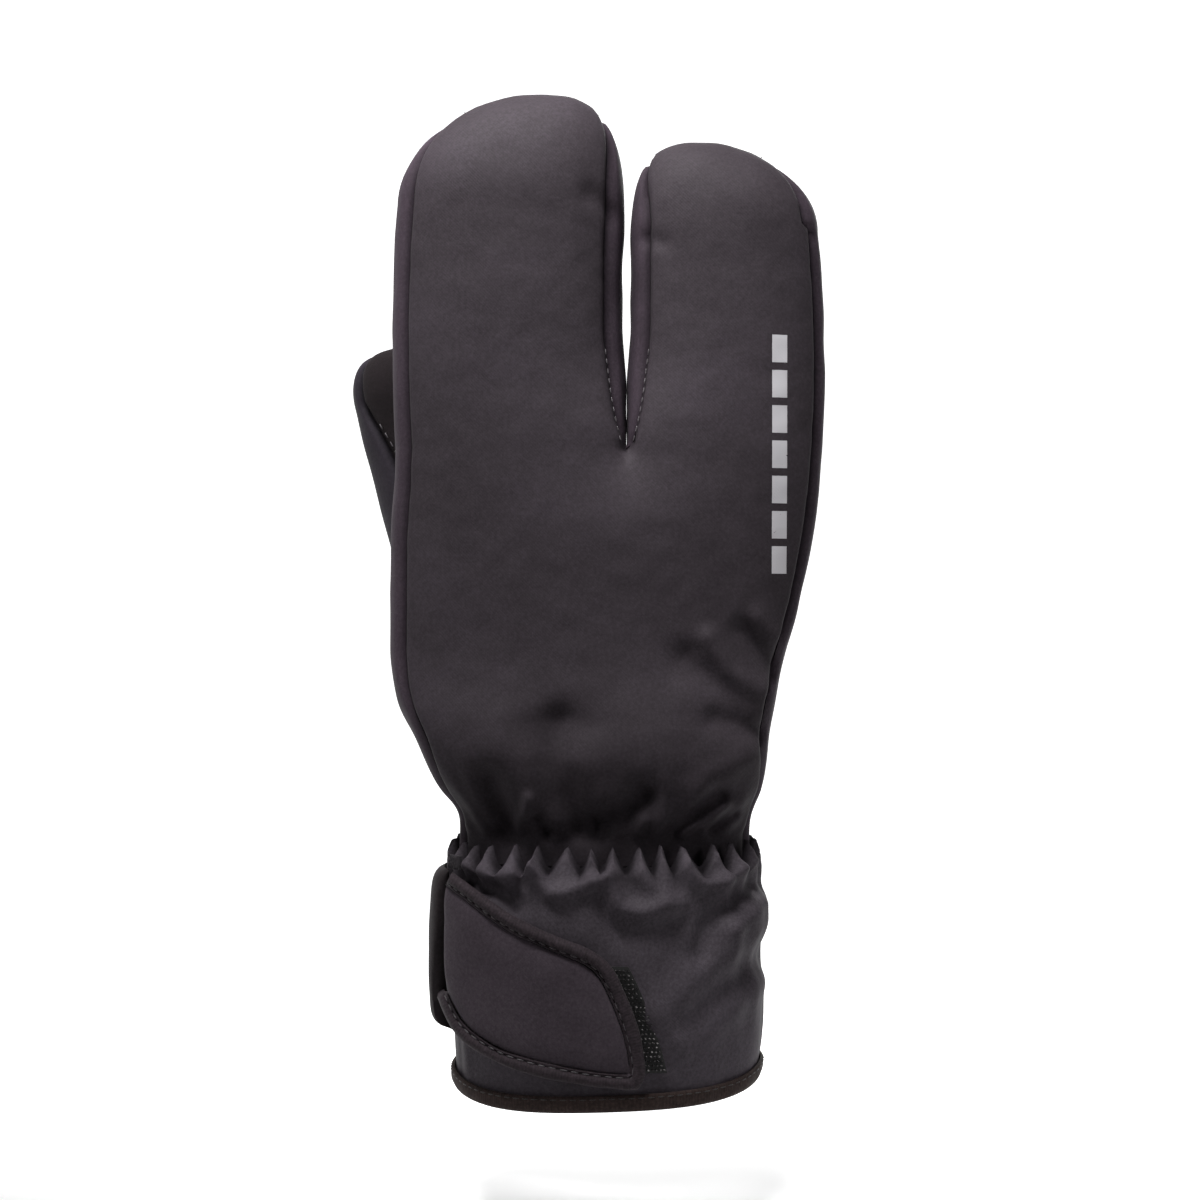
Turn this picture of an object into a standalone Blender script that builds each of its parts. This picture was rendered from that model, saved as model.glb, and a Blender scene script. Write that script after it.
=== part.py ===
"""Three-finger winter glove for the right hand, standing on its cuff as it does when worn.

Metres. +Z runs from the wrist opening to the fingertips, -Y is the back of the hand, and -X is the
thumb's side. The origin is the middle of the wrist opening, in the plane of the hem.
"""

import math

import bmesh
import bpy

mm = 0.001

# Driving sizes
cuff_height = 70.0 * mm
palm_height = 108.0 * mm
wide_stall_height = 99.0 * mm
narrow_stall_height = 85.5 * mm
palm_width = 119.5 * mm
palm_depth = 40.0 * mm
cuff_width = 86.0 * mm
cuff_depth = 62.0 * mm
wall = 2.6 * mm
cuff_wall = 2.2 * mm
seam_gap = 0.3 * mm
seam_inset = 4.0 * mm
slot_gap = 2.2 * mm
slot_closed_gap = 0.7 * mm
slot_closed_height = 26.0 * mm
thumb_width = 32.0 * mm
thumb_length = 96.0 * mm
thumb_lean = 0.31  # how far the thumb leans outward for each unit of its rise
pleat_count = 28
pleat_depth = 1.4 * mm
tooth_height = 4.2 * mm
hem_height = 4.6 * mm
hem_rise = 2.4 * mm
binding_thickness = 0.9 * mm
strap_length = 52.0 * mm
strap_width = 40.0 * mm
strap_thickness = 2.0 * mm
strap_rest_height = 6.6 * mm
strap_binding_width = 4.0 * mm
hook_patch_thickness = 1.4 * mm
hook_patch_overhang = 4.6 * mm
hook_patch_width = 16.0 * mm
strap_fold_thickness = 4.8 * mm
strap_fold_reach = 24.0 * mm
tab_width = 6.0 * mm
tab_thickness = 1.2 * mm

# Heights that the driving sizes give
crotch_height = cuff_height + palm_height
tuck_bottom = cuff_height - tooth_height - 2.0 * mm  # the panels end inside the cuff

# Outline of the palm from the waist up to the crotch. Level: share of palm_height above the waist.
# Left and right: how far the edge lies from the middle line, as shares of half the palm's width.
# Depth: share of the way from half the waist's depth to half the palm's depth.
palm_outline = [
    {"level": 0.00, "left": 0.645, "right": 0.702, "depth": 0.00},
    {"level": 0.06, "left": 0.672, "right": 0.722, "depth": 0.08},
    {"level": 0.15, "left": 0.778, "right": 0.768, "depth": 0.30},
    {"level": 0.25, "left": 0.862, "right": 0.786, "depth": 0.52},
    {"level": 0.35, "left": 0.947, "right": 0.820, "depth": 0.70},
    {"level": 0.46, "left": 0.979, "right": 0.862, "depth": 0.84},
    {"level": 0.61, "left": 0.979, "right": 0.937, "depth": 0.95},
    {"level": 0.77, "left": 0.978, "right": 0.994, "depth": 1.00},
    {"level": 0.88, "left": 0.966, "right": 1.021, "depth": 1.00},
    {"level": 1.00, "left": 0.956, "right": 1.040, "depth": 0.96},
]

# Each stall. Outer: x of its outside edge at the crotch, at the belly and at the tip's root, and
# inner: x of its slot edge at the root, as shares of half the palm's width. Root: height of the tip's
# root above the crotch, as a share of the stall's height. Lean: how far the tip's top lies from the
# root's middle, as a share of half the palm's width. Depth: share of half the palm's depth.
stalls = {
    "wide": {
        "height": wide_stall_height,
        "outer": (-0.956, -0.972, -0.947),
        "inner": 0.122,
        "root": 0.683,
        "lean": 0.117,
        "depth": 0.93,
    },
    "narrow": {
        "height": narrow_stall_height,
        "outer": (1.040, 1.050, 1.020),
        "inner": 0.148,
        "root": 0.700,
        "lean": -0.103,
        "depth": 0.88,
    },
}
slot_place = 0.124  # x of the slot's middle, as a share of half the palm's width

# Soft valleys pressed into the panels. From and to: x as a share of half the palm's width, z as a share
# of palm_height above the waist. Depth and width: shares of the wall.
back_folds = [
    {"from": (0.95, 0.50), "to": (0.40, 0.30), "depth": 1.0, "width": 2.6},
    {"from": (0.74, 0.26), "to": (0.30, 0.10), "depth": 0.9, "width": 2.2},
    {"from": (-0.24, 0.42), "to": (-0.06, 0.12), "depth": 1.1, "width": 2.6},
    {"from": (-0.60, 0.24), "to": (-0.36, 0.06), "depth": 0.8, "width": 2.2},
    {"from": (0.12, 1.00), "to": (0.10, 0.72), "depth": 0.9, "width": 3.4},
]
palm_folds = [
    {"from": (-0.10, 0.36), "to": (0.20, 0.10), "depth": 1.0, "width": 2.6},
    {"from": (0.86, 0.60), "to": (0.20, 0.52), "depth": 0.9, "width": 3.0},
    {"from": (0.80, 0.98), "to": (-0.40, 0.92), "depth": 0.8, "width": 3.0},
]

# Outline of the cuff. Level: share of cuff_height above the hem. Left and right: share of half the cuff's
# width. Depth: share of half the cuff's depth.
cuff_outline = [
    {"level": 0.00, "left": 0.930, "right": 1.020, "depth": 0.985},
    {"level": 0.15, "left": 0.945, "right": 1.050, "depth": 1.000},
    {"level": 0.32, "left": 0.960, "right": 1.060, "depth": 1.010},
    {"level": 0.50, "left": 0.975, "right": 1.045, "depth": 1.010},
    {"level": 0.68, "left": 0.985, "right": 1.050, "depth": 1.000},
    {"level": 0.84, "left": 0.980, "right": 1.030, "depth": 0.975},
    {"level": 0.93, "left": 0.960, "right": 1.005, "depth": 0.940},
    {"level": 1.00, "left": 0.935, "right": 0.985, "depth": 0.905},
]

# Flow folds of the cuff, pressed inward. Turn: angle from +X in degrees, with the back of the hand at -90.
# Drift: how far the fold turns for each cuff_height of rise. Depth and width: shares of pleat_depth and of
# one pleat's angle. Top: share of cuff_height where it fades.
cuff_folds = [
    {"turn": -62.0, "drift": 34.0, "depth": 0.75, "width": 0.75, "low": 0.10, "top": 0.80},
    {"turn": -40.0, "drift": 30.0, "depth": 0.65, "width": 0.70, "low": 0.20, "top": 0.86},
    {"turn": -18.0, "drift": 26.0, "depth": 0.70, "width": 0.70, "low": 0.06, "top": 0.90},
    {"turn": -104.0, "drift": -30.0, "depth": 0.60, "width": 0.90, "low": 0.62, "top": 0.97},
    {"turn": 60.0, "drift": -20.0, "depth": 0.80, "width": 0.90, "low": 0.12, "top": 0.84},
    {"turn": 110.0, "drift": 24.0, "depth": 0.70, "width": 0.90, "low": 0.20, "top": 0.88},
]

# Edges of the strap, from the side of the cuff to the strap's tip. Along: share of strap_length from its
# left end. Top and bottom: height above its lowest point, as a share of strap_width plus the slant.
strap_outline = [
    {"along_top": 0.00, "top": 1.380, "along_bottom": 0.00, "bottom": 0.420},
    {"along_top": 0.10, "top": 1.310, "along_bottom": 0.06, "bottom": 0.285},
    {"along_top": 0.32, "top": 1.135, "along_bottom": 0.20, "bottom": 0.165},
    {"along_top": 0.54, "top": 1.010, "along_bottom": 0.38, "bottom": 0.100},
    {"along_top": 0.72, "top": 0.920, "along_bottom": 0.56, "bottom": 0.055},
    {"along_top": 0.83, "top": 0.800, "along_bottom": 0.72, "bottom": 0.020},
    {"along_top": 0.91, "top": 0.590, "along_bottom": 0.84, "bottom": 0.005},
    {"along_top": 0.97, "top": 0.370, "along_bottom": 0.92, "bottom": 0.000},
    {"along_top": 1.00, "top": 0.130, "along_bottom": 0.97, "bottom": 0.015},
]

# How finely the surfaces are divided
palm_rows = 17
tube_rows = 8
tip_rows = 6
wide_columns = 9
narrow_columns = 8
strip_columns = 4
cuff_samples_per_pleat = 4
cuff_levels = (0.03, 0.20, 0.40, 0.60, 0.76, 0.88, 0.95, 1.00)
hem_samples = 48
thumb_rows = 8
thumb_tip_rows = 4

# The block of cells of the palm panel that the thumb's opening takes
thumb_first_column = 1
thumb_column_count = 4
thumb_first_row = 5
thumb_row_count = 5


def smooth(value):
    value = min(1.0, max(0.0, value))
    return value * value * (3.0 - 2.0 * value)


def read(table, key, column, at):
    """The table's column at a value of its key, on straight lines between rows."""
    low = table[0]
    for high in table[1:]:
        if at <= high[key]:
            share = (at - low[key]) / (high[key] - low[key])
            return low[column] + (high[column] - low[column]) * max(0.0, share)
        low = high
    return low[column]


def superellipse(share, power):
    """Height of a superellipse of half-width and height one at a share of its half-width."""
    return max(0.0, 1.0 - abs(share) ** power) ** (1.0 / power)


def fold_depth(folds, x, z):
    """How far the valleys of a table press the surface in at a point of the panel."""
    total = 0.0
    for fold in folds:
        ax = fold["from"][0] * palm_width / 2.0
        az = cuff_height + fold["from"][1] * palm_height
        bx = fold["to"][0] * palm_width / 2.0
        bz = cuff_height + fold["to"][1] * palm_height
        length_squared = (bx - ax) ** 2 + (bz - az) ** 2
        along = ((x - ax) * (bx - ax) + (z - az) * (bz - az)) / length_squared
        along = min(1.0, max(0.0, along))
        distance = math.hypot(x - ax - along * (bx - ax), z - az - along * (bz - az))
        fade = smooth(4.0 * along) * smooth(4.0 * (1.0 - along)) if 0.0 < along < 1.0 else 0.0
        reach = fold["width"] * wall
        total += fold["depth"] * wall * fade * math.exp(-((distance / reach) ** 2))
    return total


def edges_of_cuff(z):
    """Left edge, right edge and half-depth of the cuff's outer surface at a height."""
    level = z / cuff_height
    left = -cuff_width / 2.0 * read(cuff_outline, "level", "left", level)
    right = cuff_width / 2.0 * read(cuff_outline, "level", "right", level)
    return left, right, cuff_depth / 2.0 * read(cuff_outline, "level", "depth", level)


def edges_of_palm(z):
    """Left edge, right edge and half-depth of the palm at a height."""
    level = (z - cuff_height) / palm_height
    half = palm_width / 2.0
    left = -half * read(palm_outline, "level", "left", level)
    right = half * read(palm_outline, "level", "right", level)
    inside = cuff_wall + 1.5 * seam_gap
    cuff_left, cuff_right, cuff_half_depth = edges_of_cuff(cuff_height)
    near_waist = 1.0 - smooth(level / 0.12)
    left += (cuff_left + inside - left) * near_waist
    right += (cuff_right - inside - right) * near_waist
    blend = read(palm_outline, "level", "depth", level)
    waist_half_depth = cuff_half_depth - inside
    return left, right, waist_half_depth + (palm_depth / 2.0 - waist_half_depth) * blend


def edges_of_stall(name, z, cap):
    """Middle, half-width and half-depth of a stall at a height. Cap: the tip's latitude, or None."""
    stall = stalls[name]
    half = palm_width / 2.0
    root = crotch_height + stall["root"] * stall["height"]
    rise = min(1.0, max(0.0, (z - crotch_height) / (root - crotch_height)))
    first, belly, last = stall["outer"]
    middle_way = 4.0 * rise * (1.0 - rise)
    outer = half * (first + (last - first) * rise + (belly - (first + last) / 2.0) * middle_way)
    side = -1.0 if name == "wide" else 1.0
    slot = half * slot_place
    opened = smooth((z - crotch_height - 0.7 * slot_closed_height) / (0.6 * slot_closed_height))
    gap = (slot_closed_gap + (slot_gap - slot_closed_gap) * opened) / 2.0
    inner = slot + side * gap
    inner_root = half * stall["inner"]
    inner += (inner_root - inner) * smooth((rise - 0.75) / 0.25) * 0.5
    middle = (outer + inner) / 2.0
    width = abs(outer - inner) / 2.0
    depth = stall["depth"] * palm_depth / 2.0
    if cap is not None:
        middle += stall["lean"] * half * math.sin(cap) ** 2
        width *= math.cos(cap) ** 0.9
        depth *= math.cos(cap) ** 0.9
    return middle, width, depth


cuff_power = 2.3
palm_power = 2.7
stall_power = 2.25
valley_share = 0.45  # how much of the stalls' own roundness the palm has at the crotch
valley_reach = 0.36  # how far down the palm that roundness fades, as a share of palm_height
strip_end = math.radians(60.0)  # latitude of the tip where the side strips end in a point


def stall_roundness(z):
    below = valley_share * smooth((z - crotch_height + valley_reach * palm_height) / (valley_reach * palm_height))
    above = (1.0 - valley_share) * smooth((z - crotch_height) / slot_closed_height)
    return below + above


def height_over(name, x, z, cap, inward):
    """How far the panel's surface lies from the middle plane. Inward: distance inside the outer surface."""
    middle, width, depth = edges_of_stall(name, max(z, crotch_height), cap)
    share = (x - middle) / max(width - inward, 1e-6)
    own = (depth - inward) * superellipse(min(1.0, abs(share)), stall_power)
    roundness = stall_roundness(z) if cap is None else 1.0
    if roundness >= 1.0:
        return own
    left, right, palm_half_depth = edges_of_palm(min(z, crotch_height))
    palm_middle = (left + right) / 2.0
    palm_share = (x - palm_middle) / max((right - left) / 2.0 - inward, 1e-6)
    squareness = smooth((z - cuff_height) / (0.35 * palm_height))
    power = cuff_power + (palm_power - cuff_power) * squareness
    shared = (palm_half_depth - inward) * superellipse(min(1.0, abs(palm_share)), power)
    return shared + (own - shared) * roundness


def seam_distance(name, z, cap, on_slot):
    """Distance of the seam from the silhouette, which runs out near the tip and at the crotch."""
    if cap is not None:
        return seam_inset * (1.0 - smooth(cap / strip_end))
    if on_slot:
        return seam_inset * smooth((z - crotch_height) / slot_closed_height) ** 0.5
    side_share = 1.0 if name == "wide" else 0.6
    low = smooth((z - cuff_height) / (0.35 * palm_height))
    return seam_inset * side_share * (0.25 + 0.75 * low)


def stall_stations(name):
    """(z, cap) of every row of a stall above the crotch, the last at the tip's pole."""
    stall = stalls[name]
    root = crotch_height + stall["root"] * stall["height"]
    top = crotch_height + stall["height"]
    rows = []
    for row in range(1, tube_rows + 1):
        rows.append((crotch_height + (root - crotch_height) * row / tube_rows, None))
    for row in range(1, tip_rows + 1):
        cap = math.pi / 2.0 * row / tip_rows
        rows.append((root + (top - root) * math.sin(cap), cap))
    return rows


def edge_places(name, z, cap, inward):
    """x of the outer silhouette and of the slot side, and which way is outward."""
    outward = -1.0 if name == "wide" else 1.0
    if z > crotch_height or cap is not None:
        middle, width, _ = edges_of_stall(name, z, cap)
        width = max(width - inward, 0.0)
        return middle + outward * width, middle - outward * width, outward
    left, right, _ = edges_of_palm(z)
    edge = left + inward if name == "wide" else right - inward
    return edge, palm_width / 2.0 * slot_place, outward


def raised_point(name, x, z, cap, side, inward, folds):
    """A point of the panel's sheet above or below (x, z) of the middle plane."""
    rise = z
    if cap is not None:
        stall = stalls[name]
        root = crotch_height + stall["root"] * stall["height"]
        rise = root + (z - root) * (1.0 - inward / (stall["height"] * (1.0 - stall["root"])))
    height = max(height_over(name, x, z, cap, inward), seam_gap / 2.0)
    if cap is None and height > seam_inset:
        height -= fold_depth(folds, x, z)
    return (x, side * height, rise)


def panel_point(name, x_share, z, cap, side, inward, folds):
    """A point of a panel: x_share runs from the outer seam, 0, to the slot seam or slot line, 1."""
    edge, slot_edge, outward = edge_places(name, z, cap, inward)
    panels_meet = cap is not None and cap > strip_end - 0.01
    gap = 0.0 if panels_meet else seam_gap / 2.0
    start = edge - outward * (seam_distance(name, z, cap, False) + gap)
    end = slot_edge
    if z > crotch_height or cap is not None:
        end = slot_edge + outward * (seam_distance(name, z, cap, True) + gap)
    return raised_point(name, start + (end - start) * x_share, z, cap, side, inward, folds)


def strip_row(name, z, cap, inward, on_slot):
    """Points across a side strip, from its seam with the back to its seam with the palm."""
    edge, slot_edge, outward = edge_places(name, z, cap, inward)
    silhouette = slot_edge if on_slot else edge
    inset = seam_distance(name, z, cap, on_slot) - seam_gap / 2.0
    seam = silhouette + outward * inset * (1.0 if on_slot else -1.0)
    back = raised_point(name, seam, z, cap, -1.0, inward, back_folds)
    palm = raised_point(name, seam, z, cap, 1.0, inward, palm_folds)
    return bulged_row(back, (silhouette, 0.0, back[2]), palm)


def bulged_row(start, middle, end):
    """Points on a bulge from a start over a middle point to an end, clear of both seams."""
    width = math.dist(start, middle) + math.dist(middle, end)
    margin = seam_gap / width
    points = []
    for column in range(strip_columns + 1):
        share = margin + (1.0 - 2.0 * margin) * column / strip_columns
        bulge = 1.0 - abs(2.0 * share - 1.0) ** 2.2
        point = []
        for axis in range(3):
            straight = start[axis] + (end[axis] - start[axis]) * share
            half_way = (start[axis] + end[axis]) / 2.0
            point.append(straight + (middle[axis] - half_way) * bulge)
        points.append(tuple(point))
    return points


def spread(share, one_sided):
    """Places columns closer together near a seam. One_sided: 1 near the outer seam only, 0 near both."""
    both = (1.0 - math.cos(math.pi * share)) / 2.0
    one = share ** 1.25
    return one * one_sided + both * (1.0 - one_sided)


def make_material(name, colour, roughness, metallic=0.0):
    material = bpy.data.materials.new(name)
    material.use_nodes = True
    shader = material.node_tree.nodes["Principled BSDF"]
    shader.inputs["Base Color"].default_value = (*colour, 1.0)
    shader.inputs["Roughness"].default_value = roughness
    shader.inputs["Metallic"].default_value = metallic
    material.diffuse_color = (*colour, 1.0)
    return material


def add_object(name, vertices, faces, material):
    """Welds the mesh, turns its faces out and puts it in the glove's collection."""
    mesh = bpy.data.meshes.new(name)
    mesh.from_pydata(vertices, [], faces)
    bm = bmesh.new()
    bm.from_mesh(mesh)
    bmesh.ops.remove_doubles(bm, verts=bm.verts, dist=0.01 * mm)
    bmesh.ops.recalc_face_normals(bm, faces=bm.faces)
    bm.to_mesh(mesh)
    bm.free()
    mesh.shade_smooth()
    mesh.set_sharp_from_angle(angle=math.radians(50.0))
    mesh.materials.append(material)
    obj = bpy.data.objects.new(name, mesh)
    glove.objects.link(obj)
    return obj


def add_shell(name, outer, inner, faces, material):
    """A solid wall between two sheets with the same faces, closed along every open edge."""
    count = len(outer)
    uses = {}
    for face in faces:
        for index, start in enumerate(face):
            end = face[(index + 1) % len(face)]
            uses.setdefault(frozenset((start, end)), []).append((start, end))
    solid = [tuple(face) for face in faces]
    solid += [tuple(count + index for index in reversed(face)) for face in faces]
    for pairs in uses.values():
        if len(pairs) == 1:
            start, end = pairs[0]
            solid.append((end, start, count + start, count + end))
    return add_object(name, list(outer) + list(inner), solid, material)


def grid_faces(rows, columns, closed=False):
    """Quads of a grid whose points are numbered row by row."""
    faces = []
    wrap = columns if closed else columns - 1
    for row in range(rows - 1):
        for column in range(wrap):
            after = (column + 1) % columns
            low = row * columns
            high = low + columns
            faces.append((low + column, low + after, high + after, high + column))
    return faces


class Sheet:
    """Points of an outer and an inner sheet, numbered alike, with the faces between them."""

    def __init__(self):
        self.outer = []
        self.inner = []
        self.faces = []

    def add(self, outer, inner):
        self.outer.append(outer)
        self.inner.append(inner)
        return len(self.outer) - 1

    def join(self, lower, upper):
        """Faces between two rows of point numbers. Numbers that repeat make a triangle."""
        for column in range(len(lower) - 1):
            face = [lower[column], lower[column + 1], upper[column + 1], upper[column]]
            kept = [index for place, index in enumerate(face) if index not in face[:place]]
            if len(kept) > 2:
                self.faces.append(tuple(kept))


def add_panel(name, side, folds, material, with_thumb):
    """The back or the palm with both stalls. Gives the outer points round the thumb's opening."""
    sheet = Sheet()

    def add_point(stall, share, z, cap, drop=0.0):
        outer = panel_point(stall, share, z, cap, side, 0.0, folds)
        inner = panel_point(stall, share, z, cap, side, wall, folds)
        return sheet.add(outer, (inner[0], inner[1], inner[2] - drop))

    rows = []
    for row in range(palm_rows + 1):
        z = tuck_bottom + (crotch_height - tuck_bottom) * row / palm_rows
        drop = wall if row == palm_rows else 0.0
        line = []
        for column in range(wide_columns):
            line.append(add_point("wide", (column / wide_columns) ** 1.25, z, None))
        line.append(add_point("wide", 1.0, z, None, drop))
        for column in range(narrow_columns - 1, -1, -1):
            line.append(add_point("narrow", (column / narrow_columns) ** 1.25, z, None))
        rows.append(line)
    for row in range(palm_rows):
        sheet.join(rows[row], rows[row + 1])
    for stall, first, last in (
        ("wide", 0, wide_columns),
        ("narrow", wide_columns, wide_columns + narrow_columns),
    ):
        below = rows[-1][first:last + 1]
        count = last - first
        for place, (z, cap) in enumerate(stall_stations(stall)):
            evenness = smooth(1.5 * (place + 1) / tube_rows)
            if cap is not None and cap > 0.99 * math.pi / 2.0:
                pole = add_point(stall, 0.5, z, cap)
                above = [pole] * (count + 1)
            else:
                above = []
                for column in range(count + 1):
                    share = column / count if stall == "wide" else 1.0 - column / count
                    above.append(add_point(stall, spread(share, 1.0 - evenness), z, cap))
            sheet.join(below, above)
            below = above
    ring = open_for_thumb(sheet, rows, side) if with_thumb else None
    add_shell(name, sheet.outer, sheet.inner, sheet.faces, material)
    return ring


def open_for_thumb(sheet, rows, side):
    """Takes a block of cells out of the palm and rounds its edge. Gives the edge's outer points."""
    columns = range(thumb_first_column, thumb_first_column + thumb_column_count + 1)
    lines = range(thumb_first_row, thumb_first_row + thumb_row_count + 1)
    block = {rows[line][column] for line in lines for column in columns}
    sheet.faces = [face for face in sheet.faces if not all(index in block for index in face)]
    edge = []
    for line in lines:
        for column in columns:
            if line in (lines[0], lines[-1]) or column in (columns[0], columns[-1]):
                edge.append(rows[line][column])
    low = [min(sheet.outer[index][axis] for index in edge) for axis in (0, 2)]
    high = [max(sheet.outer[index][axis] for index in edge) for axis in (0, 2)]
    middle = [(low[axis] + high[axis]) / 2.0 for axis in (0, 1)]
    reach = [(high[axis] - low[axis]) / 2.0 * 0.97 for axis in (0, 1)]
    ring = []
    for index in edge:
        x, _, z = sheet.outer[index]
        angle = math.atan2(-(z - middle[1]) / reach[1], (x - middle[0]) / reach[0])
        x = middle[0] + reach[0] * math.cos(angle)
        z = middle[1] - reach[1] * math.sin(angle)
        sheet.outer[index] = raised_point("wide", x, z, None, side, 0.0, ())
        sheet.inner[index] = raised_point("wide", x, z, None, side, wall, ())
        ring.append((angle, sheet.outer[index]))
    return middle, reach, sorted(ring)


def side_strip_rows(name, on_slot):
    """Outer and inner rows of a side strip, from the crotch or the waist up to its pointed end."""
    stations = []
    if not on_slot:
        for row in range(palm_rows + 1):
            stations.append((tuck_bottom + (crotch_height - tuck_bottom) * row / palm_rows, None))
    for z, cap in stall_stations(name):
        if cap is None or cap < strip_end - 0.01:
            stations.append((z, cap))
    rows = []
    for z, cap in stations:
        outer = strip_row(name, z, cap, 0.0, on_slot)
        rows.append((outer, strip_row(name, z, cap, wall, on_slot)))
    stall = stalls[name]
    root = crotch_height + stall["root"] * stall["height"]
    cap = strip_end - math.radians(4.0)
    z = root + stall["height"] * (1.0 - stall["root"]) * math.sin(cap)
    point = []
    for inward in (0.0, wall):
        edge, slot_edge, _ = edge_places(name, z, cap, inward)
        x = slot_edge if on_slot else edge
        rise = raised_point(name, x, z, cap, 1.0, inward, ())[2]
        point.append([(x, 0.0, rise)] * (strip_columns + 1))
    rows.append(tuple(point))
    return rows


def add_strip(name, rows, material):
    sheet = Sheet()
    lines = []
    for outer, inner in rows:
        line = []
        for column, point in enumerate(outer):
            repeated = column > 0 and point == outer[column - 1]
            line.append(line[-1] if repeated else sheet.add(point, inner[column]))
        lines.append(line)
    for row in range(len(lines) - 1):
        sheet.join(lines[row], lines[row + 1])
    return add_shell(name, sheet.outer, sheet.inner, sheet.faces, material)


def add_fourchette(material):
    """The strip round the slot: down the wide stall, round the crotch and up the narrow stall."""
    down = list(reversed(side_strip_rows("wide", True)))
    up = side_strip_rows("narrow", True)
    slot = palm_width / 2.0 * slot_place
    bottom = []
    for inward in (0.0, wall):
        z = crotch_height + 3.0 * seam_gap - inward
        back = raised_point("wide", slot, crotch_height, None, -1.0, inward, back_folds)
        palm = raised_point("wide", slot, crotch_height, None, 1.0, inward, palm_folds)
        bottom.append(bulged_row((slot, back[1], z), (slot, 0.0, z), (slot, palm[1], z)))
    add_strip("fourchette", down + [tuple(bottom)] + up, material)


thumb_bend = 0.42  # share of the rings that turn from the palm's opening to upright
thumb_bend_room = 1.8 * mm  # how far the bend's pivot lies above the opening's rim
thumb_depth_share = 0.96  # the thumb's thickness as a share of its width
thumb_tip_share = 0.47  # how far the tip rises past its last full ring, as a share of its width
thumb_first_seam = -105.0  # degrees round the thumb, where its front seam runs
thumb_second_seam = 100.0


def rim_height(ring, angle):
    """y of the palm's opening at an angle round it."""
    angle = (angle + math.pi) % (2.0 * math.pi) - math.pi
    around = [(ring[-1][0] - 2.0 * math.pi, ring[-1][1])] + ring + [(ring[0][0] + 2.0 * math.pi, ring[0][1])]
    for low, high in zip(around, around[1:]):
        if angle <= high[0]:
            share = (angle - low[0]) / (high[0] - low[0])
            return low[1][1] + (high[1][1] - low[1][1]) * share
    return around[-1][1][1]


def thumb_point(share, cap, angle, opening, inward, sunk=0.0):
    """A point of the thumb. Share runs from its opening to its last full ring, then cap to the tip."""
    origin, reach, rim = opening
    bend = min(1.0, share / thumb_bend)
    beyond = max(0.0, (share - thumb_bend) / (1.0 - thumb_bend))
    to_full = smooth(share / (0.8 * thumb_bend))
    wide = reach[0] - 3.0 * seam_gap + (thumb_width / 2.0 - reach[0] + 3.0 * seam_gap) * to_full
    deep = reach[1] - 3.0 * seam_gap
    deep += (thumb_depth_share * thumb_width / 2.0 - deep) * to_full
    slimmer = 1.0 - 0.06 * beyond
    turn = math.pi / 2.0 * bend
    radius = deep + thumb_bend_room
    pivot_z = origin[2] + reach[1] - 3.0 * seam_gap + thumb_bend_room
    tip = thumb_tip_share * thumb_width
    straight = origin[2] + thumb_length - tip - pivot_z
    rise = pivot_z - radius * math.cos(turn) + straight * beyond
    x = origin[0] - thumb_lean * (rise - origin[2])
    y = origin[1] + seam_gap - sunk + radius * math.sin(turn) - 0.03 * thumb_length * beyond
    tilt = math.atan(thumb_lean) * bend
    tangent = (-math.sin(tilt), math.cos(turn) * math.cos(tilt), math.sin(turn) * math.cos(tilt))
    across = (math.cos(tilt), math.cos(turn) * math.sin(tilt), math.sin(turn) * math.sin(tilt))
    through = (0.0, math.sin(turn), -math.cos(turn))
    wide = (wide * slimmer - inward) * math.cos(cap) ** 0.85
    deep = (deep * slimmer - inward) * math.cos(cap) ** 0.85
    out = (tip - inward) * math.sin(cap)
    y += (rim_height(rim, angle) - origin[1]) * (1.0 - smooth(1.6 * bend))
    point = []
    for axis, start in enumerate((x, y, rise)):
        ring = wide * math.cos(angle) * across[axis] + deep * math.sin(angle) * through[axis]
        point.append(start + ring + out * tangent[axis])
    return tuple(point)


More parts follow.
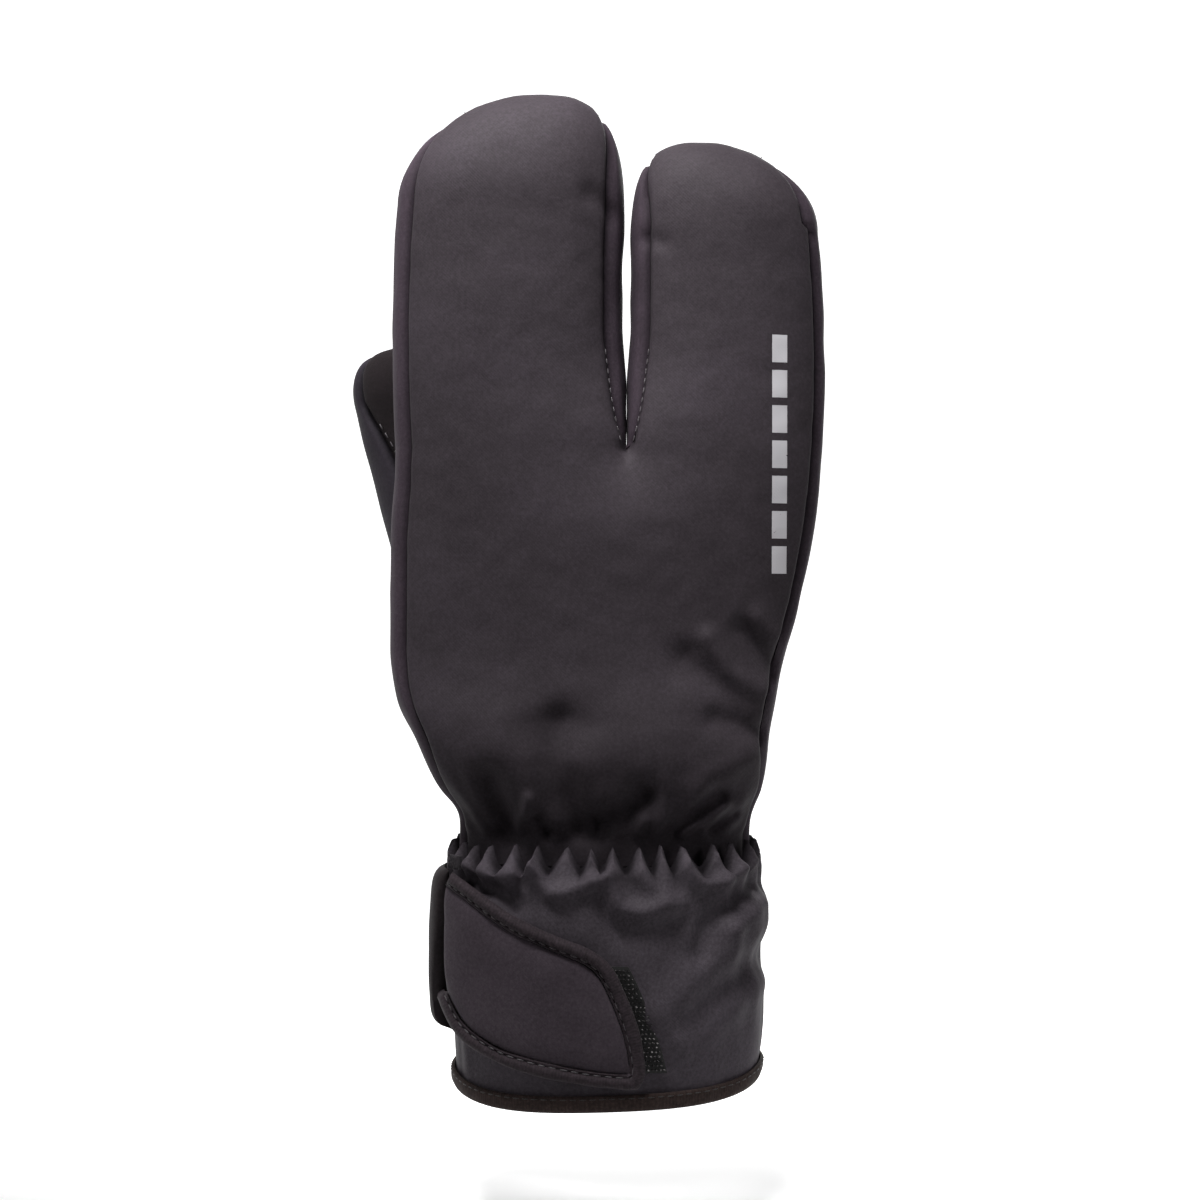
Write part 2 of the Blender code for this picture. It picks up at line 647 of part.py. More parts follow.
def add_thumb(hole, outer_material, inner_material):
    """Two halves of the thumb, sewn along two seams, which plug into the palm's opening."""
    centre, reach, ring = hole
    level = max(point[1] for _, point in ring)
    opening = ((centre[0], level, centre[1]), reach, ring)
    angles = [angle for angle, _ in ring]
    stations = [(0.0, 0.0, wall)]
    stations += [(row / thumb_rows, 0.0, 0.0) for row in range(thumb_rows + 1)]
    for row in range(1, thumb_tip_rows + 1):
        stations.append((1.0, math.pi / 2.0 * row / thumb_tip_rows, 0.0))
    first = math.radians(thumb_first_seam)
    second = math.radians(thumb_second_seam)
    inner_half = [first] + [angle for angle in angles if first + 0.15 < angle < second - 0.15] + [second]
    outer_half = [second] + [angle for angle in angles if angle > second + 0.15]
    outer_half += [angle + 2.0 * math.pi for angle in angles if angle < first - 0.15]
    outer_half += [first + 2.0 * math.pi]
    margin = seam_gap / thumb_width
    for name, half, material in (
        ("thumb_inner", inner_half, inner_material),
        ("thumb_outer", outer_half, outer_material),
    ):
        half = [half[0] + margin] + half[1:-1] + [half[-1] - margin]
        sheet = Sheet()
        lines = []
        for share, cap, sunk in stations:
            if cap > 0.99 * math.pi / 2.0:
                shift = seam_gap / 2.0 * (1.0 if name == "thumb_inner" else -1.0)
                outer = thumb_point(share, cap, half[0], opening, 0.0)
                inner = thumb_point(share, cap, half[0], opening, wall)
                pole = sheet.add(
                    (outer[0] + shift, outer[1], outer[2]),
                    (inner[0] + shift, inner[1], inner[2]),
                )
                lines.append([pole] * len(half))
                continue
            line = []
            for angle in half:
                outer = thumb_point(share, cap, angle, opening, 0.0, sunk)
                line.append(sheet.add(outer, thumb_point(share, cap, angle, opening, wall, sunk)))
            lines.append(line)
        for row in range(len(lines) - 1):
            sheet.join(lines[row], lines[row + 1])
        add_shell(name, sheet.outer, sheet.inner, sheet.faces, material)


def cuff_point(angle, z, outward, lift=0.0):
    """A point of the cuff's plain surface, moved outward, at an angle round it from +X."""
    left, right, depth = edges_of_cuff(z)
    cosine = math.cos(angle)
    sine = math.sin(angle)
    reach = right + outward if cosine > 0.0 else -left + outward
    x = reach * math.copysign(abs(cosine) ** (2.0 / cuff_power), cosine)
    y = (depth + outward) * math.copysign(abs(sine) ** (2.0 / cuff_power), sine)
    return (x, y, z + lift)


def hem_lift(x):
    """The hem rises towards the little-finger side."""
    return hem_rise * (x / cuff_width + 0.5)


def cuff_dent(angle, level):
    """How far the flow folds press the cuff in."""
    total = 0.0
    pleat_angle = 2.0 * math.pi / pleat_count
    for fold in cuff_folds:
        middle = math.radians(fold["turn"] + fold["drift"] * (level - fold["low"]))
        away = (angle - middle + math.pi) % (2.0 * math.pi) - math.pi
        span = smooth((level - fold["low"]) / 0.16) * smooth((fold["top"] - level) / 0.16)
        total += fold["depth"] * span * math.exp(-((away / (fold["width"] * pleat_angle)) ** 2))
    return total * pleat_depth


def add_cuff(material):
    sheet = Sheet()
    lines = []
    count = pleat_count * cuff_samples_per_pleat
    for level in cuff_levels:
        line = []
        for sample in range(count):
            angle = 2.0 * math.pi * sample / count
            crest = (1.0 + math.cos(pleat_count * angle)) / 2.0
            near_top = smooth((level - 0.62) / 0.33)
            z = level * cuff_height - tooth_height * (1.0 - crest) * smooth((level - 0.86) / 0.14)
            dent = pleat_depth * (1.0 - crest) * near_top + cuff_dent(angle, level)
            lift = hem_lift(cuff_point(angle, z, 0.0)[0]) * (1.0 - smooth(level / 0.5))
            outer = cuff_point(angle, z, -min(dent, pleat_depth), lift)
            line.append(sheet.add(outer, cuff_point(angle, z, -cuff_wall, lift)))
        line.append(line[0])
        lines.append(line)
    for row in range(len(lines) - 1):
        sheet.join(lines[row], lines[row + 1])
    add_shell("cuff", sheet.outer, sheet.inner, sheet.faces, material)


def add_hem_binding(material):
    """A U-shaped band round the cuff's lower edge."""
    cuff_bottom = cuff_levels[0] * cuff_height
    outside = seam_gap + binding_thickness
    inside = -cuff_wall - seam_gap - binding_thickness
    rounding = 0.8 * mm
    section = [
        (outside, hem_height),
        (outside, rounding),
        (outside - rounding, 0.0),
        (inside + rounding, 0.0),
        (inside, rounding),
        (inside, hem_height),
        (inside + binding_thickness, hem_height),
        (inside + binding_thickness, cuff_bottom - seam_gap),
        (seam_gap, cuff_bottom - seam_gap),
        (seam_gap, hem_height),
    ]
    vertices = []
    for sample in range(hem_samples):
        angle = 2.0 * math.pi * sample / hem_samples
        for outward, z in section:
            lift = hem_lift(cuff_point(angle, z, 0.0)[0])
            vertices.append(cuff_point(angle, z, outward, lift))
    faces = []
    count = len(section)
    for sample in range(hem_samples):
        after = (sample + 1) % hem_samples
        for corner in range(count):
            turn = (corner + 1) % count
            faces.append((
                sample * count + corner,
                sample * count + turn,
                after * count + turn,
                after * count + corner,
            ))
    add_object("hem_binding", vertices, faces, material)


strap_left = -40.2 * mm
strap_clearance = 2.0 * seam_gap + hook_patch_thickness


def front_point(x, z, outward):
    """A point in front of the cuff's back-of-hand side, moved outward from its plain surface."""
    left, right, depth = edges_of_cuff(z)
    reach = right + outward if x > 0.0 else -left + outward
    share = min(1.0, abs(x) / reach)
    return (x, -(depth + outward) * superellipse(share, cuff_power), z)


def strap_edges():
    """(x, z) of the strap's top edge and of its bottom edge, from the side to the tip."""
    top = []
    bottom = []
    for row in strap_outline:
        x = strap_left + strap_length * row["along_top"]
        top.append((x, strap_rest_height + strap_width * row["top"]))
        x = strap_left + strap_length * row["along_bottom"]
        bottom.append((x, strap_rest_height + strap_width * row["bottom"]))
    return top, bottom


def strap_path(inset):
    """The strap's outline from its left end round the tip and back, moved inward."""
    top, bottom = strap_edges()
    path = top + list(reversed(bottom))
    moved = []
    for place, (x, z) in enumerate(path):
        before = path[max(0, place - 1)]
        after = path[min(len(path) - 1, place + 1)]
        length = math.dist(before, after)
        inward = ((after[1] - before[1]) / length, -(after[0] - before[0]) / length)
        moved.append((x + inward[0] * inset, z + inward[1] * inset))
    return moved


def add_strap(material):
    path = strap_path(strap_binding_width + seam_gap)
    half = len(path) // 2
    rows = 5
    sheet = Sheet()
    lines = []
    for high, low in zip(path[:half], reversed(path[half:])):
        if high[1] - low[1] < strap_binding_width:
            continue
        line = []
        for row in range(rows + 1):
            x = low[0] + (high[0] - low[0]) * row / rows
            z = low[1] + (high[1] - low[1]) * row / rows
            outer = front_point(x, z, strap_clearance + strap_thickness)
            line.append(sheet.add(outer, front_point(x, z, strap_clearance)))
        lines.append(line)
    for row in range(len(lines) - 1):
        sheet.join(lines[row], lines[row + 1])
    add_shell("wrist_strap", sheet.outer, sheet.inner, sheet.faces, material)


def add_strap_binding(material):
    """A band along the strap's top edge, round its tip and back along its bottom edge."""
    paths = [strap_path(strap_binding_width * share) for share in (0.0, 0.5, 1.0)]
    sheet = Sheet()
    lines = []
    for stations in zip(*paths):
        line = []
        for place, (x, z) in enumerate(stations):
            bulge = 0.3 * strap_thickness if place == 1 else 0.0
            outer = front_point(x, z, strap_clearance + strap_thickness + bulge)
            line.append(sheet.add(outer, front_point(x, z, strap_clearance)))
        lines.append(line)
    for row in range(len(lines) - 1):
        sheet.join(lines[row], lines[row + 1])
    add_shell("strap_binding", sheet.outer, sheet.inner, sheet.faces, material)


def add_hook_patch(material):
    """Hook tape on the cuff, under the strap's tip and a little beyond it."""
    top, bottom = strap_edges()
    high = top[5]
    low = top[-1]
    sheet = Sheet()
    lines = []
    for row in range(6):
        share = row / 5
        x = high[0] + (low[0] - high[0]) * share
        z = high[1] + (low[1] - high[1]) * share
        line = []
        for column in range(4):
            reach = hook_patch_overhang - hook_patch_width * column / 3
            px = x + reach
            pz = z - 0.02 * reach
            outer = front_point(px, pz, seam_gap + hook_patch_thickness)
            line.append(sheet.add(outer, front_point(px, pz, seam_gap)))
        lines.append(line)
    for row in range(len(lines) - 1):
        sheet.join(lines[row], lines[row + 1])
    add_shell("hook_patch", sheet.outer, sheet.inner, sheet.faces, material)


def side_angle(x, z):
    """The angle round the cuff at which its left front surface has this x."""
    left, _, _ = edges_of_cuff(z)
    share = min(1.0, abs(x / left))
    return math.pi + math.acos(share ** (cuff_power / 2.0))


def add_strap_fold(material):
    """The padded edge that carries the strap round the side of the cuff."""
    top, bottom = strap_edges()
    sheet = Sheet()
    lines = []
    rows = 6
    columns = 6
    for row in range(rows + 1):
        share = row / rows
        z = bottom[0][1] - 3.0 * mm + (top[0][1] - bottom[0][1] + 3.0 * mm) * share
        first = side_angle(strap_left - 3.0 * seam_gap, z)
        turn = strap_fold_reach / (cuff_depth / 2.0)
        line = []
        for column in range(columns + 1):
            across = column / columns
            angle = first - turn * across
            rounded = 1.0 - abs(2.0 * across - 0.8) ** 2.5 * 0.4
            round_end = 1.0 - 0.45 * abs(2.0 * share - 1.0) ** 6.0
            thick = strap_fold_thickness * max(0.35, rounded * round_end)
            outer = cuff_point(angle, z, seam_gap + thick)
            line.append(sheet.add(outer, cuff_point(angle, z, 1.5 * seam_gap)))
        lines.append(line)
    for row in range(len(lines) - 1):
        sheet.join(lines[row], lines[row + 1])
    add_shell("strap_fold", sheet.outer, sheet.inner, sheet.faces, material)


def add_strap_tab(material):
    """A small sewn tab above the padded edge."""
    top, _ = strap_edges()
    low = top[0][1] + 2.0 * seam_gap
    sheet = Sheet()
    lines = []
    for row in range(2):
        z = low + tab_width * 0.6 * row
        first = side_angle(strap_left + tab_width * 0.5, z)
        line = []
        for column in range(3):
            angle = first - tab_width / (cuff_depth / 2.0) * column / 2
            outer = cuff_point(angle, z, seam_gap + tab_thickness)
            line.append(sheet.add(outer, cuff_point(angle, z, seam_gap)))
        lines.append(line)
    sheet.join(lines[0], lines[1])
    add_shell("strap_tab", sheet.outer, sheet.inner, sheet.faces, material)


for old in list(bpy.data.objects):
    bpy.data.objects.remove(old, do_unlink=True)
glove = bpy.data.collections.new("winter_glove")
bpy.context.scene.collection.children.link(glove)

softshell = make_material("softshell", (0.030, 0.026, 0.031), 0.62)
gusset_cloth = make_material("gusset_softshell", (0.036, 0.032, 0.037), 0.66)
palm_cloth = make_material("palm_suede", (0.024, 0.020, 0.022), 0.85)
thumb_cloth = make_material("thumb_softshell", (0.033, 0.029, 0.036), 0.64)
thumb_suede = make_material("thumb_suede", (0.022, 0.018, 0.021), 0.88)
cuff_cloth = make_material("cuff_softshell", (0.050, 0.044, 0.052), 0.58)
hem_tape = make_material("hem_tape", (0.014, 0.011, 0.011), 0.8)
strap_cloth = make_material("strap_laminate", (0.036, 0.031, 0.036), 0.7)
strap_tape = make_material("strap_tape", (0.028, 0.024, 0.027), 0.75)
hook_tape = make_material("hook_tape", (0.020, 0.017, 0.018), 0.4)
fold_cloth = make_material("strap_fold_cloth", (0.022, 0.019, 0.022), 0.7)
tab_cloth = make_material("tab_webbing", (0.020, 0.018, 0.020), 0.7)

add_panel("back_panel", -1.0, back_folds, softshell, False)
thumb_opening = add_panel("palm_panel", 1.0, palm_folds, palm_cloth, True)
add_strip("index_gusset", side_strip_rows("wide", False), gusset_cloth)
add_strip("little_gusset", side_strip_rows("narrow", False), gusset_cloth)
add_fourchette(gusset_cloth)
add_thumb(thumb_opening, thumb_cloth, thumb_suede)
add_cuff(cuff_cloth)
add_hem_binding(hem_tape)
add_strap(strap_cloth)
add_strap_binding(strap_tape)
add_hook_patch(hook_tape)
add_strap_fold(fold_cloth)
add_strap_tab(tab_cloth)
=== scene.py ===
import math

import bmesh
import bpy
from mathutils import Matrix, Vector, noise


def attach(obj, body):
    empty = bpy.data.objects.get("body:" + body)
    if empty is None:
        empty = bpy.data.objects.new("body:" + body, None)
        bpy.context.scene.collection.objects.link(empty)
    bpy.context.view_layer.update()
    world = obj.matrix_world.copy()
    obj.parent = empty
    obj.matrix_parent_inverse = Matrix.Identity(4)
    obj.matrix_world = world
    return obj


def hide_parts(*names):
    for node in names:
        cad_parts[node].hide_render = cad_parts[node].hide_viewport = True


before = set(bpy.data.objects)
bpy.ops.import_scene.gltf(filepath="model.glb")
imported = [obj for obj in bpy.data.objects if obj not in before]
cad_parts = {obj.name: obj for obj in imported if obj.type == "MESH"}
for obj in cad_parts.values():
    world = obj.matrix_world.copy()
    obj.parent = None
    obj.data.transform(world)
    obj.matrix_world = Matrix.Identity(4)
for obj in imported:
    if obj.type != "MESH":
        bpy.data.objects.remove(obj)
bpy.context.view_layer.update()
mm = 0.001

# the whole glove, in metres: z runs up from the hem, the back of the hand faces -y
glove = {
    "cuffHeight": 70 * mm,
    "palmHeight": 108 * mm,
    "halfPalm": 59.75 * mm,
    "palmDepth": 20 * mm,
    "wall": 2.6 * mm,
    "seamInset": 4.0 * mm,
    "slotGap": 2.2 * mm,
    "slotClosedGap": 0.12 * mm,
    "slotClosedHeight": 26 * mm,
    "seamGroove": 1.6 * mm,  # how deep the cloth is pulled in along a seam
    "seamRoll": 1.5 * mm,  # how wide that roll is
    "panelGap": 0.12 * mm,
    "deepest": 1.9 * mm,  # no seam or fold is pushed in further, so that the skins stay apart
    "grooveFull": 1.5,  # the painted shade is full where the cloth is sunk this many times seamGroove
}
crotch = glove["cuffHeight"] + glove["palmHeight"]
tuckBottom = glove["cuffHeight"] - 6.2 * mm

# palm outline: level above the waist, left and right edge as shares of halfPalm, depth from waist to palm
palmOutline = [
    (0.00, 0.645, 0.702, 0.00),
    (0.06, 0.672, 0.722, 0.08),
    (0.15, 0.778, 0.768, 0.30),
    (0.25, 0.862, 0.786, 0.52),
    (0.35, 0.947, 0.820, 0.70),
    (0.46, 0.979, 0.862, 0.84),
    (0.61, 0.979, 0.937, 0.95),
    (0.77, 0.978, 0.994, 1.00),
    (0.88, 0.966, 1.021, 1.00),
    (1.00, 0.956, 1.040, 0.96),
]
# cuff outline: level above the hem, left, right and depth as shares of the half sizes
cuffOutline = [
    (0.00, 0.930, 1.020, 0.985),
    (0.15, 0.945, 1.050, 1.000),
    (0.32, 0.960, 1.060, 1.010),
    (0.50, 0.975, 1.045, 1.010),
    (0.68, 0.985, 1.050, 1.000),
    (0.84, 0.995, 1.055, 0.970),
    (0.93, 0.995, 1.045, 0.915),
    (1.00, 0.975, 1.030, 0.845),
]
stalls = {
    "wide": {
        "height": 99 * mm, "outer": (-0.956, -0.972, -0.947), "inner": 0.122,
        "root": 0.683, "lean": 0.145, "depth": 0.93, "side": -1, "seam": 1.0,
    },
    "narrow": {
        "height": 85.5 * mm, "outer": (1.040, 1.050, 1.020), "inner": 0.148,
        "root": 0.700, "lean": -0.128, "depth": 0.88, "side": 1, "seam": 0.6,
    },
}
slotX = 0.124 * glove["halfPalm"]
stripEnd = math.radians(60)  # latitude of the tips where the side strips run out
stripStop, poleCap = stripEnd - 0.01, 0.99 * math.pi / 2  # just before that latitude, and before the pole
cuffPower, palmPower, stallPower = 2.3, 2.7, 2.25

# how the hand's section changes on the way from the cuff to the stalls
section = {
    "waistGap": 0.45 * mm,  # between the hand's cloth and the inside of the cuff
    "waistBlend": 0.12,  # shares of the palm's height
    "squareReach": 0.35,
    "splitReach": 0.36,
    "splitAtCrotch": 0.45,
    "slotStart": 0.7,  # shares of slotClosedHeight
    "slotReach": 0.6,
    "innerStart": 0.75,  # share of a stall's straight part
    "innerShare": 0.5,
    "tipPower": 0.9,
    "seamLow": 0.25,  # the side strips are narrower at the cuff
}

cuff = {
    "halfWidth": 43 * mm,
    "halfDepth": 31 * mm,
    "wall": 2.2 * mm,
    "pleats": 34,
    "pleatDepth": 1.3 * mm,
    "toothHeight": 6.2 * mm,
    "samplesPerPleat": 10,
    "rows": 74,
    "hemRise": 2.4 * mm,
    "hemSide": 2.2 * mm,
    "hemFront": -1.6 * mm,
    "start": 0.03,  # levels are shares of its height; it starts a little above the hem's edge
    "rowPower": 1.35, "spiral": 0.42,
    "sharpStart": 0.80, "toothStart": 0.84, "edgeReach": 0.16, "toothPower": 1.3,
    "pleatStart": 0.62, "pleatReach": 0.28, "pleatUneven": 0.1, "pleatLow": 0.06,
    "soft": 0.6 * mm, "softAtEdge": 0.4, "foldEnd": 0.08, "foldSide": 5 * mm,
    "tuck": 0.9 * mm, "tuckStart": 0.955, "tuckReach": 0.045, "liftEnd": 0.5,
    # pleatShade, foldShade: painted shade in the pleats' notches and in the creases
    "deepest": 2.0 * mm, "pleatShade": 1.2, "foldShade": 0.25,
}

# creases of the back and the palm, in mm: depth (a ridge is below 0), width, (x, z) points of its line
backCreases = [
    (3.2, 5.4, [(-10.7, 102.7), (-11.6, 92.0), (-8.9, 82.2), (-6.7, 75.9)]),
    (1.6, 6.0, [(-17.9, 100.1), (-3.6, 101.9)]),
    (3.8, 4.0, [(-29.5, 86.7), (-26.8, 79.5), (-24.1, 73.3)]),
    (-1.6, 1.7, [(-19.2, 82.2), (-22.3, 73.3)]),
    (2.6, 1.6, [(-17.0, 76.8), (-14.3, 72.4)]),
    (3.9, 3.6, [(11.6, 83.1), (7.1, 77.7), (0.0, 75.1)]),
    (2.3, 2.3, [(32.6, 83.1), (25.9, 78.6), (20.5, 73.3)]),
    (-1.6, 1.6, [(34.8, 80.4), (26.8, 75.1), (22.3, 72.4)]),
    (2.2, 1.5, [(36.6, 77.3), (30.4, 73.3)]),
    (-1.4, 4.0, [(40.2, 92.9), (30.4, 88.5), (26.8, 84.0)]),
    (2.9, 3.5, [(31.3, 103.6), (37.5, 101.0), (44.7, 99.6)]),
    (-0.8, 4.0, [(22.3, 109.9), (29.5, 108.1), (35.7, 104.5)]),
    (1.9, 4.0, [(23.2, 119.7), (29.5, 113.5), (36.6, 105.4)]),
    (-1.8, 3.0, [(29.5, 125.1), (34.8, 117.0), (42.9, 111.7), (47.3, 109.0)]),
    (1.9, 3.0, [(39.3, 127.8), (44.7, 120.6), (49.1, 116.1)]),
    (-1.2, 3.0, [(42.9, 130.4), (47.3, 126.0), (51.8, 124.2)]),
    (1.1, 2.6, [(-2.7, 246.5), (1.2, 243.5), (4.0, 241.0)]),
    (0.9, 2.2, [(12.8, 235.5), (17.0, 233.6)]),
]
palmCreases = [
    (3.1, 6.0, [(-6.0, 108.9), (12.0, 80.8)]),
    (2.9, 6.0, [(51.4, 134.8), (30.0, 129.0), (12.0, 126.2)]),
    (2.6, 6.5, [(47.8, 175.8), (10.0, 174.0), (-23.9, 169.4)]),
    (2.3, 4.6, [(35.9, 102.4), (23.9, 77.0)]),
    (2.3, 3.8, [(-31.0, 90.0), (-25.0, 75.0)]),
    (1.7, 2.4, [(-15.0, 86.0), (-12.0, 74.0)]),
    (2.0, 2.8, [(4.0, 84.0), (4.5, 74.0)]),
    (-0.9, 1.8, [(-8.0, 84.0), (-5.0, 73.0)]),
    (1.7, 2.8, [(41.0, 88.0), (34.0, 75.0)]),
]


def smooth(value):
    value = min(1.0, max(0.0, value))
    return value * value * (3 - 2 * value)


def mix(a, b, share):
    return a + (b - a) * share


# a smooth curve through the rows of a table, column by column
def readTable(table, at):
    last = len(table) - 1
    if at <= table[0][0]:
        return table[0][1:]
    if at >= table[last][0]:
        return table[last][1:]
    row = next(i for i in range(last) if at <= table[i + 1][0])
    p1, p2 = table[row], table[row + 1]
    p0, p3 = table[max(0, row - 1)], table[min(last, row + 2)]
    span = p2[0] - p1[0]
    t = (at - p1[0]) / span
    found = []
    for column in range(1, len(p1)):
        slope1 = (p2[column] - p0[column]) / (p2[0] - p0[0]) * span
        slope2 = (p3[column] - p1[column]) / (p3[0] - p1[0]) * span
        a = 2 * t ** 3 - 3 * t ** 2 + 1
        b = t ** 3 - 2 * t ** 2 + t
        c = -2 * t ** 3 + 3 * t ** 2
        d = t ** 3 - t ** 2
        found.append(a * p1[column] + b * slope1 + c * p2[column] + d * slope2)
    return found


def bow(share, power):
    return max(0.0, 1 - min(1.0, abs(share)) ** power) ** (1 / power)


# smooth noise from -1 to 1, so that no fold is quite regular
def wander(x, y, z, size, seed=0.0):
    return noise.noise(Vector((x / size + seed, y / size, z / size)))


# how far the creases press the cloth in at a point
def creaseDepth(creases, x, z):
    x, z = x / mm, z / mm
    total = 0.0
    for depth, width, line in creases:
        nearest = 3 * width
        for (ax, az), (bx, bz) in zip(line, line[1:]):
            if min(az, bz) - nearest > z or max(az, bz) + nearest < z:
                continue
            if min(ax, bx) - nearest > x or max(ax, bx) + nearest < x:
                continue
            along = ((x - ax) * (bx - ax) + (z - az) * (bz - az)) / ((bx - ax) ** 2 + (bz - az) ** 2)
            along = min(1.0, max(0.0, along))
            nearest = min(nearest, math.hypot(x - ax - along * (bx - ax), z - az - along * (bz - az)))
        if nearest < 3 * width:
            total += depth * math.exp(-((nearest / width) ** 2))
    return total * mm


def cuffEdges(z):
    left, right, depth = readTable(cuffOutline, z / glove["cuffHeight"])
    return -cuff["halfWidth"] * left, cuff["halfWidth"] * right, cuff["halfDepth"] * depth


def palmEdges(z):
    level = (z - glove["cuffHeight"]) / glove["palmHeight"]
    left, right, blend = readTable(palmOutline, level)
    left, right = -glove["halfPalm"] * left, glove["halfPalm"] * right
    inside = cuff["wall"] + section["waistGap"]
    waistLeft, waistRight, waistDepth = cuffEdges(glove["cuffHeight"])
    near = 1 - smooth(level / section["waistBlend"])
    left = mix(left, waistLeft + inside, near)
    right = mix(right, waistRight - inside, near)
    return left, right, mix(waistDepth - inside, glove["palmDepth"], blend)


def stallRoot(name):
    return crotch + stalls[name]["root"] * stalls[name]["height"]


def stallEdges(name, z, cap):
    stall = stalls[name]
    half = glove["halfPalm"]
    rise = min(1.0, max(0.0, (z - crotch) / (stallRoot(name) - crotch)))
    first, belly, last = stall["outer"]
    outer = half * (mix(first, last, rise) + (belly - (first + last) / 2) * 4 * rise * (1 - rise))
    closed = glove["slotClosedHeight"]
    opened = smooth((z - crotch - section["slotStart"] * closed) / (section["slotReach"] * closed))
    inner = slotX + stall["side"] * mix(glove["slotClosedGap"], glove["slotGap"], opened) / 2
    turning = smooth((rise - section["innerStart"]) / (1 - section["innerStart"]))
    inner = mix(inner, half * stall["inner"], section["innerShare"] * turning)
    middle, width = (outer + inner) / 2, abs(outer - inner) / 2
    depth = stall["depth"] * glove["palmDepth"]
    if cap is not None:
        middle += stall["lean"] * half * math.sin(cap) ** 2
        closing = max(0.0, math.cos(cap)) ** section["tipPower"]
        width, depth = width * closing, depth * closing
    return middle, width, depth


def panelHeight(name, x, z, cap, inward):
    middle, width, depth = stallEdges(name, max(z, crotch), cap)
    place = x
    if cap is None and z < crotch:  # the valley between the stalls softens below the crotch
        place += stalls[name]["side"] * (math.hypot(x - slotX, 0.5 * (crotch - z)) - abs(x - slotX))
    own = (depth - inward) * bow((place - middle) / max(width - inward, 1e-6), stallPower)
    reach = section["splitReach"] * glove["palmHeight"]
    roundness = section["splitAtCrotch"] * smooth((z - crotch + reach) / reach) ** 2
    roundness += (1 - section["splitAtCrotch"]) * smooth((z - crotch) / glove["slotClosedHeight"])
    if cap is not None or roundness >= 1:
        return own
    left, right, halfDepth = palmEdges(min(z, crotch))
    share = (x - (left + right) / 2) / max((right - left) / 2 - inward, 1e-6)
    squareness = smooth((z - glove["cuffHeight"]) / (section["squareReach"] * glove["palmHeight"]))
    shared = (halfDepth - inward) * bow(share, mix(cuffPower, palmPower, squareness))
    return mix(shared, own, roundness)


def seamDistance(name, z, cap, onSlot):
    inset = glove["seamInset"]
    if cap is not None:
        return inset * (1 - smooth(cap / stripEnd))
    if onSlot:
        return inset * smooth((z - crotch) / glove["slotClosedHeight"]) ** 0.5
    low = smooth((z - glove["cuffHeight"]) / (section["squareReach"] * glove["palmHeight"]))
    return inset * stalls[name]["seam"] * mix(section["seamLow"], 1.0, low)


def edgePlaces(name, z, cap, inward):
    side = stalls[name]["side"]
    if z > crotch or cap is not None:
        middle, width, _ = stallEdges(name, z, cap)
        width = max(width - inward, 0.0)
        return middle + side * width, middle - side * width
    left, right, _ = palmEdges(z)
    return (left + inward if name == "wide" else right - inward), slotX


def risen(name, z, cap, inward):
    if cap is None:
        return z
    root = stallRoot(name)
    tip = stalls[name]["height"] * (1 - stalls[name]["root"])
    return root + (z - root) * (1 - inward / tip)


# the gather where the cuff meets the hand
gather = {
    "steps": 720, "halfWidth": 40 * mm, "halfDepth": 27 * mm,
    "uneven": ((0.0045, 5, 0.6), (0.003, 13, 2.0)),  # waves that shift the pleats: size, count, start
    "top": 30 * mm, "close": 4 * mm, "reachMm": 9, "unevenMm": 7, "waveMm": 0.75, "liftMm": 0.1,
}


# lengths along a row of points, from its first one
def lengthsAlong(points):
    found = [0.0]
    for before, after in zip(points, points[1:]):
        found.append(found[-1] + math.dist(before, after))
    return found


# share of the way round the gather at an angle, so that the pleats are evenly wide
def lengthsRound():
    edge = []
    for step in range(gather["steps"] + 1):
        angle = 2 * math.pi * step / gather["steps"]
        cosine, sine = math.cos(angle), math.sin(angle)
        x = gather["halfWidth"] * math.copysign(abs(cosine) ** (2 / cuffPower), cosine)
        y = gather["halfDepth"] * math.copysign(abs(sine) ** (2 / cuffPower), sine)
        edge.append((x, y))
    found = lengthsAlong(edge)
    return [length / found[-1] for length in found]


gatherLengths = lengthsRound()


# pleats also stand a little unevenly
def pleatPlace(angle):
    turns = angle / (2 * math.pi)
    whole = math.floor(turns)
    step = (turns - whole) * gather["steps"]
    low = min(gather["steps"] - 1, int(step))
    share = mix(gatherLengths[low], gatherLengths[low + 1], step - low)
    uneven = sum(
        size * math.sin(2 * math.pi * count * share + start) for size, count, start in gather["uneven"]
    )
    return whole + share + uneven


# how the cloth swells between the cuff's teeth, and puckers above them
def gatherSwell(x, y, z):
    level = z - glove["cuffHeight"]
    if level > gather["top"]:
        return 0.0
    cosine = math.copysign(min(1.0, abs(x / gather["halfWidth"])) ** (cuffPower / 2), x)
    sine = math.copysign(min(1.0, abs(y / gather["halfDepth"])) ** (cuffPower / 2), y)
    wave = -math.cos(2 * math.pi * cuff["pleats"] * pleatPlace(math.atan2(sine, cosine)))
    uneven = gather["unevenMm"] * wander(x, y, 0, gather["reachMm"] * mm, 4.0)
    reach = (gather["reachMm"] + uneven) * mm
    close = smooth(level / gather["close"]) * math.exp(-max(0.0, level) / reach)
    return close * (gather["waveMm"] * wave + gather["liftMm"]) * mm


# the hand swells out above the gather, and its cloth dives under the cuff's crowns
puff = {
    "height": 5.2 * mm, "level": 95 * mm, "reach": 16 * mm, "dive": 3.0 * mm, "diveReach": 7 * mm,
    "crownStart": 4 * mm, "crownReach": 6 * mm, "ripple": 0.35 * mm, "rippleSize": 26 * mm,
    "shade": 0.85 * mm, "shadeReach": 34 * mm,  # painted shade above the gather, as if the cloth were sunk so deep; foldShade below paints shade in the creases
    "foldShade": 0.08,
}


